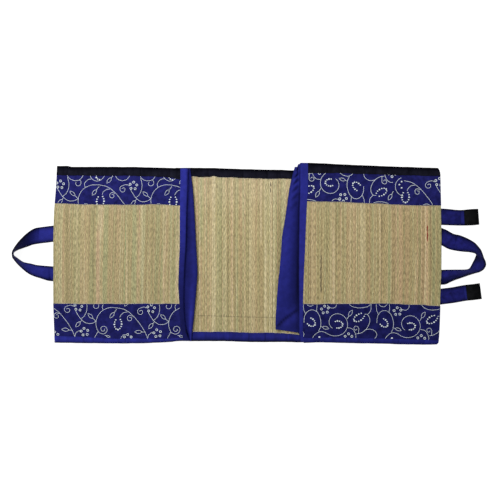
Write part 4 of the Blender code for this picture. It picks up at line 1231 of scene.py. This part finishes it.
def hinge_section(panel, row, side, middle_end, strip_lift):
    """One section, from the strip on the outer panel to the end on the middle panel."""
    strip_y, hollow_y, rim_y = row["strip_y"], row["hollow_y"], row["rim_y"]
    edge = float(panel.end("inner", strip_y))
    strip = abs(float(panel.end("strip", strip_y)) - edge)
    first = float(panel.edge("lift", 1)) + strip_lift
    top = float(panel.edge("lift", 2)) + strip_lift
    reach = side * (row["rim_x"] - edge)
    end = side * (middle_end - edge)
    hollow = min(0.008, 0.45 * reach)
    crest = max(reach - 0.011, hollow + 0.40 * (reach - hollow))
    roll = (row["crest_z"] - RETURN_HEIGHT) / 2
    points = [
        (-strip, strip_y, first),
        (-strip * 0.5, strip_y, (first + top) / 2 + 0.0001),
        (-0.001, strip_y, top + 0.0004),
        (EDGE_CLEARANCE - 0.0004, strip_y, top - 0.0012),
        (EDGE_CLEARANCE, (strip_y + hollow_y) / 2, (top + row["hollow_z"]) / 2),
        (EDGE_CLEARANCE + 0.0010, hollow_y, row["hollow_z"] + 0.0014),
        (hollow, hollow_y + (rim_y - hollow_y) * 0.05, row["hollow_z"] - 0.0004),
        ((hollow + crest) / 2, (hollow_y + rim_y) / 2, (row["hollow_z"] + row["crest_z"]) / 2 - 0.0004),
        (crest, rim_y, row["crest_z"]),
        (reach - roll * 0.7, rim_y, row["crest_z"] - roll * 0.3),
        (reach, rim_y, row["crest_z"] - roll),
        (reach - roll * 0.7, rim_y, RETURN_HEIGHT + roll * 0.3),
        (reach - 0.010, rim_y, RETURN_HEIGHT),
        ((reach + end) / 2, rim_y, RETURN_HEIGHT),
        (end + 0.001, rim_y, RETURN_HEIGHT),
    ]
    return np.array([(edge + side * along, y, z) for along, y, z in points])


def resample(points, count):
    """A smooth path through the points, with stations closer together at its bends."""
    tangents = np.gradient(points, axis=0)
    tangents /= np.linalg.norm(tangents, axis=1, keepdims=True)
    fine = []
    for k in range(len(points) - 1):
        span = np.linalg.norm(points[k + 1] - points[k])
        t = np.linspace(0, 1, 12, endpoint=False)[:, None]
        held = (2 * t**3 - 3 * t**2 + 1) * points[k] + (3 * t**2 - 2 * t**3) * points[k + 1]
        bend = (t**3 - 2 * t**2 + t) * tangents[k] + (t**3 - t**2) * tangents[k + 1]
        fine.append(held + bend * span)
    fine = np.vstack([*fine, points[-1:]])
    steps = np.diff(fine, axis=0)
    lengths = np.linalg.norm(steps, axis=1)
    heading = np.unwrap(np.arctan2(steps[:, 2], steps[:, 0]))
    turning = np.concatenate([[0], np.abs(np.diff(heading))])
    weight = lengths / lengths.sum() + turning / turning.sum() * BEND_WEIGHT
    along = np.concatenate([[0], np.cumsum(weight)])
    return read_along(np.linspace(0, along[-1], count), along, fine)


def crease(grid, creases):
    """Presses the creases into the upper layer, in plan distance from each line."""
    plan = grid[..., :2]
    pressed = np.zeros(grid.shape[:2])
    for x1, y1, x2, y2, depth, reach in zip(*creases.values()):
        start = np.array([x1, y1])
        line = np.array([x2, y2]) - start
        share = np.clip(((plan - start) @ line) / (line @ line), 0, 1)
        away = np.linalg.norm(plan - start - share[..., None] * line, axis=-1)
        pressed += depth * np.sin(math.pi * (0.12 + 0.76 * share)) * bell(away, reach)
    return pressed


# %% The two hinge cloths
HINGE_STATIONS = 64
UPPER_SHARE = 0.66  # of a section's points, before it goes back beneath
CREASE_SHADE = 330  # change of lightness for each metre that a crease is deep


def strip_height(panel, y):
    """How high the strip lies over what is beneath it: reed, printed band or binding."""
    low_band, low_flap = band_limits(panel, False, 1.0)
    high_band, high_flap = band_limits(panel, True, 1.0)
    on_band = under(y - low_band, 0.0025) + under(high_band - y, 0.0025)
    on_flap = under(y - low_flap, 0.0020) + under(high_flap - y, 0.0020)
    return REED + 0.0007 + 0.0009 * min(on_band, 1) + 0.0010 * min(on_flap, 1)


# Painted light and shade on the cloth: how light it is on the strip, down in the hollow, up the slope, before the fold
# and on its rim
FOLD_SHARES = {"left": (-0.40, -0.02, 0.10, 0.36, 0.76, 1.0), "right": (-0.10, -0.02, 0.05, 0.22, 0.70, 1.0)}
FOLD_LIGHT = {
    "left": table("y strip edge hollow slope fold rim", [
        (-0.300, 0.36, 0.36, 0.54, 0.62, 0.95, 0.40),
        (-0.250, 0.32, 0.32, 0.52, 0.57, 0.95, 0.46),
        (-0.140, 0.45, 0.45, 0.55, 0.55, 0.84, 0.65),
        (-0.020, 0.80, 0.78, 0.44, 0.52, 0.70, 0.68),
        (0.090, 1.10, 1.02, 0.42, 0.50, 0.66, 0.60),
        (0.200, 1.28, 0.95, 0.62, 0.64, 0.82, 0.60),
        (0.290, 1.22, 0.92, 0.86, 0.76, 0.62, 0.45),
    ]),
    "right": table("y strip edge hollow slope fold rim", [
        (-0.290, 0.80, 0.80, 0.40, 0.60, 0.62, 0.60),
        (-0.250, 0.95, 0.95, 0.45, 0.85, 0.80, 0.80),
        (-0.205, 1.00, 1.00, 0.20, 0.42, 0.70, 0.90),
        (-0.130, 1.05, 1.05, 0.11, 0.54, 0.90, 0.80),
        (0.030, 1.05, 1.05, 0.24, 0.56, 1.00, 0.80),
        (0.150, 1.05, 1.05, 0.26, 0.62, 1.05, 0.75),
        (0.200, 1.06, 1.06, 0.36, 0.70, 1.05, 0.75),
        (0.240, 1.04, 1.04, 0.64, 0.98, 1.08, 0.75),
        (0.300, 0.90, 0.95, 0.75, 0.92, 0.80, 0.45),
    ]),
}


def fold_light(place, share, y):
    """The painted lightness of each point of a hinge cloth, from its share of the way out to the rim."""
    knots, *columns = FOLD_LIGHT[place].values()
    made = []
    for line, at in zip(share, y):
        values = np.array([np.interp(at, knots, column) for column in columns])
        made.append(flow(line, np.array(FOLD_SHARES[place]), values))
    return np.array(made)


def hinge_cloth(name, panel, rows, place, side, middle_end, sections, seed):
    knots = np.arange(len(rows["rim_y"]), dtype=float)
    grid, reaches = [], []
    for at in np.linspace(0, knots[-1], sections):
        row = {column: float(flow(at, knots, values)) for column, values in rows.items()}
        lift = strip_height(panel, row["strip_y"])
        grid.append(resample(hinge_section(panel, row, side, middle_end, lift), HINGE_STATIONS))
        reaches.append(side * (row["rim_x"] - float(panel.end("inner", row["strip_y"]))))
    grid = np.array(grid)
    upper = np.linspace(0, 1, HINGE_STATIONS) < UPPER_SHARE
    free = np.clip((grid[..., 2] - RETURN_HEIGHT - 0.0016) / 0.002, 0, 1) * upper
    away = side * (grid[..., 0] - panel.end("inner", grid[:, :1, 1]))
    free = free * np.clip((away - 0.002) / 0.004, 0, 1)
    wave = ripple(grid[..., 1] + 0.4 * grid[..., 0], seed, (0.090, 0.034), (0.00022, 0.00010))
    pressed = crease(grid, CREASES[place])
    share = away / np.array(reaches)[:, None]
    painted_light_and_tone = fold_light(place, share, grid[:, 0, 1])
    painted_light_and_tone = painted_light_and_tone * np.clip(1 + CREASE_SHADE * pressed * (share > 0.02), 0.35, 1.45)
    grid[..., 2] += (pressed + wave) * free
    floor_z = RETURN_HEIGHT + HINGE + 0.0006
    grid[..., 2] = np.where((free > 0) & (grid[..., 2] < floor_z), floor_z, grid[..., 2])
    node = name.replace("draped_", "")
    obj = sheet_piece(name, grid, HINGE_SHEET, plain_blue, (node,), angle=80, painted_light_and_tone=painted_light_and_tone)
    return grid


left_grid = hinge_cloth(
    "draped_hinge_cloth_left", left, LEFT_HINGE, "left", 1, MIDDLE_ENDS[0], 150, 51
)
right_grid = hinge_cloth(
    "draped_hinge_cloth_right", right, RIGHT_HINGE, "right", -1, MIDDLE_ENDS[1], 190, 52
)

# %% [markdown]
# ## Handles
# A handle is one long strap, folded from cloth and stitched along both edges. Its ends lie flat beneath the panel,
# and its middle stands on its inner edge, because a flat strap can't turn a corner in its own plane.

# %% Handle paths
LEFT_HANDLE = table("x y lean_x lean_y width", [
    (-0.6704, 0.0292, 0.00, 1.02, 0.058),
    (-0.6971, 0.0292, 0.00, 1.02, 0.058),
    (-0.7274, 0.0257, 0.00, 1.02, 0.058),
    (-0.7542, 0.0225, 0.04, 1.00, 0.058),
    (-0.7738, 0.0192, 0.14, 0.89, 0.058),
    (-0.7916, 0.0132, 0.19, 0.72, 0.057),
    (-0.8077, 0.0077, 0.23, 0.51, 0.056),
    (-0.8237, 0.0024, 0.29, 0.29, 0.055),
    (-0.8344, -0.0026, 0.35, 0.16, 0.055),
    (-0.8408, -0.0068, 0.38, 0.08, 0.055),
    (-0.8437, -0.0132, 0.39, 0.04, 0.055),
    (-0.8416, -0.0200, 0.38, -0.10, 0.055),
    (-0.8344, -0.0258, 0.35, -0.14, 0.055),
    (-0.8237, -0.0340, 0.30, -0.17, 0.055),
    (-0.8095, -0.0431, 0.26, -0.24, 0.054),
    (-0.7952, -0.0464, 0.24, -0.44, 0.054),
    (-0.7791, -0.0495, 0.22, -0.65, 0.053),
    (-0.7631, -0.0535, 0.22, -0.73, 0.053),
    (-0.7417, -0.0559, 0.20, -0.83, 0.053),
    (-0.7203, -0.0571, 0.10, -0.97, 0.053),
    (-0.7070, -0.0581, 0.00, -1.04, 0.053),
    (-0.6970, -0.0587, 0.00, -1.04, 0.053),
    (-0.6704, -0.0603, 0.00, -1.00, 0.053),
])
RIGHT_HANDLE = table("x y lean_x lean_y width", [
    (0.6508, 0.0296, 0.37, 0.95, 0.057),
    (0.6811, 0.0177, 0.35, 0.96, 0.057),
    (0.7025, 0.0058, 0.32, 0.97, 0.057),
    (0.7203, 0.0000, 0.22, 1.00, 0.057),
    (0.7417, -0.0036, 0.08, 0.92, 0.057),
    (0.7631, -0.0059, -0.02, 0.77, 0.057),
    (0.7809, -0.0070, -0.08, 0.61, 0.056),
    (0.7952, -0.0093, -0.13, 0.40, 0.055),
    (0.8045, -0.0128, -0.15, 0.23, 0.055),
    (0.8077, -0.0171, -0.12, 0.09, 0.054),
    (0.8070, -0.0200, -0.02, -0.12, 0.054),
    (0.8030, -0.0289, 0.16, -0.16, 0.054),
    (0.7980, -0.0396, 0.30, -0.15, 0.055),
    (0.7923, -0.0506, 0.38, -0.13, 0.055),
    (0.7873, -0.0599, 0.33, -0.14, 0.055),
    (0.7820, -0.0664, 0.19, -0.16, 0.055),
    (0.7738, -0.0696, 0.03, -0.19, 0.055),
    (0.7595, -0.0706, -0.08, -0.29, 0.055),
    (0.7417, -0.0706, -0.11, -0.43, 0.055),
    (0.7203, -0.0706, -0.11, -0.60, 0.054),
    (0.7020, -0.0706, -0.06, -0.79, 0.053),
    (0.6880, -0.0706, 0.00, -1.00, 0.053),
    (0.6780, -0.0706, 0.00, -1.00, 0.053),
    (0.6508, -0.0706, 0.00, -1.00, 0.053),
])


def handle_frame(rows, count):
    """For each station of a handle: its inner edge, the way across it, and its face's normal."""
    fine = curve_through(np.column_stack(list(rows.values())), 16)
    along = distances(fine[:, :2])
    path = read_along(np.linspace(0, along[-1], count), along, fine)
    lean = path[:, 2:4] / np.maximum(np.linalg.norm(path[:, 2:4], axis=1, keepdims=True), 1)
    rise = np.sqrt(np.maximum(0, 1 - (lean**2).sum(axis=1)))
    across = np.column_stack([lean, rise]) * path[:, 4:]
    inner = np.column_stack([path[:, :2], np.zeros(len(path))])
    face = np.cross(across, np.gradient(inner + across / 2, axis=0))
    face /= np.linalg.norm(face, axis=1, keepdims=True)
    return inner, across, face * np.sign(face[0, 2])


# %% The two handles
HANDLE_STATIONS = 220
SEAM_REACH = 0.9 / 53  # of a seam's groove, as a share of the width


def handle(name, rows, light, finish, seed):
    inner, across, face = handle_frame(rows, HANDLE_STATIONS)
    widths = np.array([0.0, 0.02, 0.06, 0.10, 0.16, 0.26, 0.38, 0.5, 0.62, 0.74, 0.84, 0.90, 0.94, 0.98, 1.0])
    long_way = np.linspace(0, 0.42, HANDLE_STATIONS)[:, None]
    waves = ripple(long_way + widths * 0.02, seed, (0.05, 0.02), (1, 0.5))
    plump = 0.00022 * np.sin(math.pi * widths) ** 0.5 + 0.00012 * waves
    sewn = -0.00035 * (bell(widths - 0.07, SEAM_REACH) + bell(widths - 0.93, SEAM_REACH))
    points = inner[:, None] + across[:, None] * widths[None, :, None] + face[:, None] * (plump + sewn)[..., None]
    half = STRAP / 2 * np.abs(face[:, None, 2])
    points[..., 2] -= (points[..., 2] - half).min(axis=1)[:, None]
    # Painted shade: a strap is darker along both turned edges
    turned_edge_shade = 1 - 0.94 * bell(np.minimum(widths, 1 - widths) * 0.055, 0.0080)
    shares = np.linspace(0, 1, HANDLE_STATIONS)
    inner_painted_light, outer_painted_light = (flow(shares, light["share"], light[edge])[:, None] for edge in ("inner", "outer"))
    painted_light_and_tone = (inner_painted_light + (outer_painted_light - inner_painted_light) * widths) * turned_edge_shade
    node = name.replace("sewn_", "")
    obj = sheet_piece(name, points, STRAP - 0.0004, finish, (node,), angle=60, painted_light_and_tone=painted_light_and_tone)
    return points, face


# How light each strap is painted along its length: it darkens where it stands up and turns from the light
LEFT_LIGHT = table("share inner outer", [
    (0.000, 0.30, 0.30),
    (0.055, 0.35, 0.35),
    (0.085, 0.84, 1.06),
    (0.200, 0.84, 1.08),
    (0.280, 0.66, 0.66),
    (0.340, 0.40, 0.30),
    (0.420, 0.30, 0.28),
    (0.490, 0.40, 0.40),
    (0.580, 0.60, 0.60),
    (0.680, 0.82, 0.78),
    (0.880, 0.90, 0.84),
    (0.925, 0.84, 0.76),
    (0.950, 0.35, 0.35),
    (1.000, 0.30, 0.30),
])
RIGHT_LIGHT = table("share inner outer", [
    (0.000, 0.40, 0.40),
    (0.050, 0.45, 0.45),
    (0.085, 1.30, 1.05),
    (0.200, 1.55, 1.05),
    (0.400, 1.60, 1.20),
    (0.450, 0.80, 1.30),
    (0.490, 0.12, 1.00),
    (0.530, 0.30, 1.15),
    (0.580, 1.10, 1.30),
    (0.630, 1.10, 0.95),
    (0.720, 1.25, 0.35),
    (0.880, 1.60, 0.32),
    (0.930, 1.30, 0.32),
    (0.955, 0.40, 0.30),
    (1.000, 0.30, 0.30),
])
left_strap, left_face = handle("sewn_handle_left", LEFT_HANDLE, LEFT_LIGHT, plain_blue, 61)
right_strap, right_face = handle("sewn_handle_right", RIGHT_HANDLE, RIGHT_LIGHT, shaded_blue, 62)

# %% [markdown]
# ## Closing tabs
# Each tab is a short flat strap whose end is folded back and holds a black hook patch. The fold is given a paler
# blue before the patch, as a painted highlight.

# %% The two tabs, their hems and their patches
UPPER_TAB = table("x y width lift", [
    (0.6487, 0.1186, 0.0590, 0.0),
    (0.6900, 0.1181, 0.0594, 0.0),
    (0.7330, 0.1152, 0.0566, 0.0012),
    (0.7560, 0.1148, 0.0564, 0.0022),
    (0.7900, 0.1168, 0.0588, 0.0008),
    (0.8150, 0.1186, 0.0576, 0.0),
])
LOWER_TAB = table("x y width lift", [
    (0.6487, -0.1700, 0.0568, 0.0),
    (0.6900, -0.1650, 0.0570, 0.0),
    (0.7250, -0.1604, 0.0566, 0.0010),
    (0.7650, -0.1530, 0.0570, 0.0022),
    (0.7950, -0.1500, 0.0576, 0.0010),
    (0.8225, -0.1464, 0.0575, 0.0),
])
TAB_CROWN = 0.0002  # a tab is this much higher along its middle
TAB_SHARES = np.array([-1, -0.95, -0.87, -0.75, -0.5, -0.25, 0, 0.25, 0.5, 0.75, 0.87, 0.95, 1])


def tab_surface(rows, start, stop, margin, base, stations):
    """Points across a tab, between two distances along it given as shares of its length."""
    path = smooth_line(np.column_stack(list(rows.values())), 0.0005)
    path = read_along(np.linspace(start, stop, stations) * (len(path) - 1), np.arange(len(path)), path)
    heading = np.gradient(path[:, :2], axis=0)
    heading /= np.linalg.norm(heading, axis=1, keepdims=True)
    across = np.column_stack([-heading[:, 1], heading[:, 0]])
    half = (path[:, 2:3] / 2 - margin) * TAB_SHARES
    xy = path[:, None, :2] + across[:, None] * half[..., None]
    z = np.maximum(path[:, 3:4], 0) + base + TAB_CROWN * (1 - TAB_SHARES**2)
    return np.concatenate([xy, np.broadcast_to(z[..., None], (*z.shape, 1))], axis=-1)


def closing_tab(place, rows, fold, patch_start):
    # Painted shade along a tab's turned edges
    turned_edge_shade = 1 - 0.92 * bell((1 - np.abs(TAB_SHARES)) * 0.028, 0.0064)
    strap = tab_surface(rows, 0, 1, 0.0004, STRAP / 2, 70)
    tab = sheet_piece(
        f"sewn_closing_tab_{place}", strap, STRAP - 0.0003, shaded_blue, (f"closing_tab_{place}",),
        painted_light_and_tone=1.05 * turned_edge_shade,
    )
    hem_points = tab_surface(rows, fold, patch_start + 0.02, 0.0007, STRAP + 0.00035, 12)
    hem = sheet_piece(f"tab_hem_{place}", hem_points, 0.0006, hem_blue, painted_light_and_tone=turned_edge_shade)
    patch_points = tab_surface(rows, patch_start, 0.994, 0.0010, STRAP + 0.0010, 34)
    # The patch is lighter where it starts and darker toward the tab's end, and has painted shade along its edges
    patch_lightness = np.linspace(1.25, 0.55, 34)[:, None] * (0.45 + turned_edge_shade * 0.55)
    patch = sheet_piece(
        f"sewn_grip_patch_{place}", patch_points, 0.0011, grip_black, (f"grip_patch_{place}",), painted_light_and_tone=patch_lightness
    )
    return strap, patch_points


upper_strap, upper_patch = closing_tab("upper", UPPER_TAB, 0.612, 0.680)
lower_strap, lower_patch = closing_tab("lower", LOWER_TAB, 0.655, 0.700)

# %% [markdown]
# ## Sewing
# Every seam is a row of single stitches. They are short threads that dive into the cloth at both ends, drawn as one
# curve with many small splines and then made a mesh.

# %% Rows of stitches
STITCH = 0.0031  # length of a stitch
STITCH_GAP = 0.0012
SEAM_INSET = 0.0032  # from a flap's edge
STITCH_POINTS = np.array([0, 0.22, 0.78, 1])  # along one stitch
STITCH_RISE = np.array([[-0.00025], [0.00012], [0.00012], [-0.00025]])
THIN_THREAD, THICK_THREAD = 0.00024, 0.00036  # radii
UP = np.array([0.0, 0.0, 1.0])


def seam_stitches(name, seams, finish, radius=THIN_THREAD):
    """seams is a list of (points, normals): the line that a seam follows and the way out of the cloth."""
    curve = bpy.data.curves.new(name, "CURVE")
    curve.dimensions = "3D"
    curve.bevel_depth = radius
    curve.bevel_resolution = 0
    curve.use_fill_caps = True
    for points, normals in seams:
        along = distances(points)
        start = STITCH_GAP
        while start + STITCH < along[-1]:
            at = start + STITCH * STITCH_POINTS
            places = read_along(at, along, points) + read_along(at, along, normals) * STITCH_RISE + SHIFT
            spline = curve.splines.new("POLY")
            spline.points.add(3)
            for point, place in zip(spline.points, places):
                point.co = (*place, 1)
            start += STITCH + STITCH_GAP
    curve_piece(curve, finish)


def flat_seam(points):
    return points, np.broadcast_to(UP, points.shape)


def binding_seam(panel, upper_side):
    us = np.linspace(0, 1, 90)
    edge_y, width, inward = panel.rim(upper_side, us)
    return flat_seam(panel.at(us, edge_y + inward * (width - SEAM_INSET), panel.flap + CLOTH))


def band_seam(panel, upper_side, seed):
    us = np.linspace(0.005, 1, 100)
    t = np.full_like(us, 0.0022 / BAND_WIDTH)
    return flat_seam(band_point(panel, upper_side, us, t, seed) + UP * 0.0004)


def edge_seam(panel, upper_side, seed=None):
    """The undyed thread that holds a cloth's edge down, on the reed just beside that edge."""
    us = np.linspace(0.01, 0.99, 100)
    edge_y, width, inward = panel.rim(upper_side, us)
    inner = edge_y + inward * width if seed is None else sewn_edge(panel, upper_side, us, seed)[0]
    return flat_seam(panel.at(us, inner + inward * 0.0014, REED + 0.0007))


def strap_seams(points, columns, normals, offset):
    chosen = [points[:, column] + normals * offset for column in columns]
    return [(line, np.broadcast_to(normals, line.shape)) for line in chosen]


black_seams = [binding_seam(panel, True) for panel in (left, middle, right)]
for patch in (upper_patch, lower_patch):
    black_seams += strap_seams(patch, (1, 11), UP, 0.0006)
seam_stitches("black_seams", black_seams, black_thread)
blue_seams = [binding_seam(panel, False) for panel in (left, middle, right)]
blue_seams += [band_seam(panel, upper_side, seed) for _, panel, upper_side, seed, _ in BANDS]
for strap, face in ((left_strap, left_face), (right_strap, right_face)):
    blue_seams += strap_seams(strap, (2, 12), face, 0.00095)
for strap in (upper_strap, lower_strap):
    blue_seams += strap_seams(strap, (1, 11), UP, 0.0011)
for grid in (left_grid, right_grid):
    blue_seams.append(flat_seam(grid[:, 1] * 0.8 + grid[:, 0] * 0.2 + UP * 0.0005))
seam_stitches("blue_seams", blue_seams, blue_thread)
edge_seams = [edge_seam(panel, upper_side, seed) for _, panel, upper_side, seed, _ in BANDS]
edge_seams += [edge_seam(middle, True), edge_seam(middle, False)]
seam_stitches("pale_edge_seams", edge_seams, pale_thread, THICK_THREAD)

# %% [markdown]
# ## A stray thread
# A dark tacking thread was left in the middle panel's reed, near its blue binding. It goes in and out of the weave.

# %% The tacking thread
thread_line = smooth_line([(-0.1885, -0.2330), (-0.1000, -0.2355), (0.0000, -0.2385), (0.0925, -0.2405)], 0.002)
thread_points = np.column_stack([thread_line, np.full(len(thread_line), REED + 0.0003)])
seam_stitches("tacking_thread", [flat_seam(thread_points)], black_thread, THICK_THREAD)

# %% [markdown]
# ## Floor and light
# The floor is plain and nearly white. A broad soft light hangs above and a little to the left, and an even sky fills
# the shadows, so the mat keeps only faint ones.

# %% Floor, lights and sky
bpy.ops.object.select_all(action="DESELECT")
bpy.ops.mesh.primitive_plane_add(size=12, location=(0, 0, -GAP))
floor = bpy.context.object
floor.name = "floor"
floor_finish, _, floor_shader = new_material("pale floor", (0.16, 0.16, 0.16), 0.9, 0.0)
floor_shader.inputs["Emission Color"].default_value = (1, 1, 1, 1)
floor_shader.inputs["Emission Strength"].default_value = 0.94
floor.data.materials.append(floor_finish)


def soft_light(name, place, aim, size, power):
    data = bpy.data.lights.new(name, "AREA")
    data.shape = "DISK"
    data.size = size
    data.energy = power
    obj = bpy.data.objects.new(name, data)
    obj.location = place
    direction = np.array(aim) - np.array(place)
    flat = math.hypot(direction[0], direction[1])
    tilt, turn = math.atan2(direction[2], flat), math.atan2(direction[1], direction[0])
    obj.rotation_euler = (math.pi / 2 + tilt, 0, turn - math.pi / 2)
    bpy.context.scene.collection.objects.link(obj)


soft_light("key", (-1.3, 1.3, 2.5), (-0.05, 0, 0), 1.6, 84.0)
world = bpy.data.worlds.new("even sky")
world.use_nodes = True
sky = world.node_tree.nodes["Background"]
sky.inputs["Color"].default_value = (1, 1, 1, 1)
sky.inputs["Strength"].default_value = 0.70
bpy.context.scene.world = world
bpy.context.scene.view_settings.view_transform = "Standard"
print("lights:", len(bpy.data.lights))
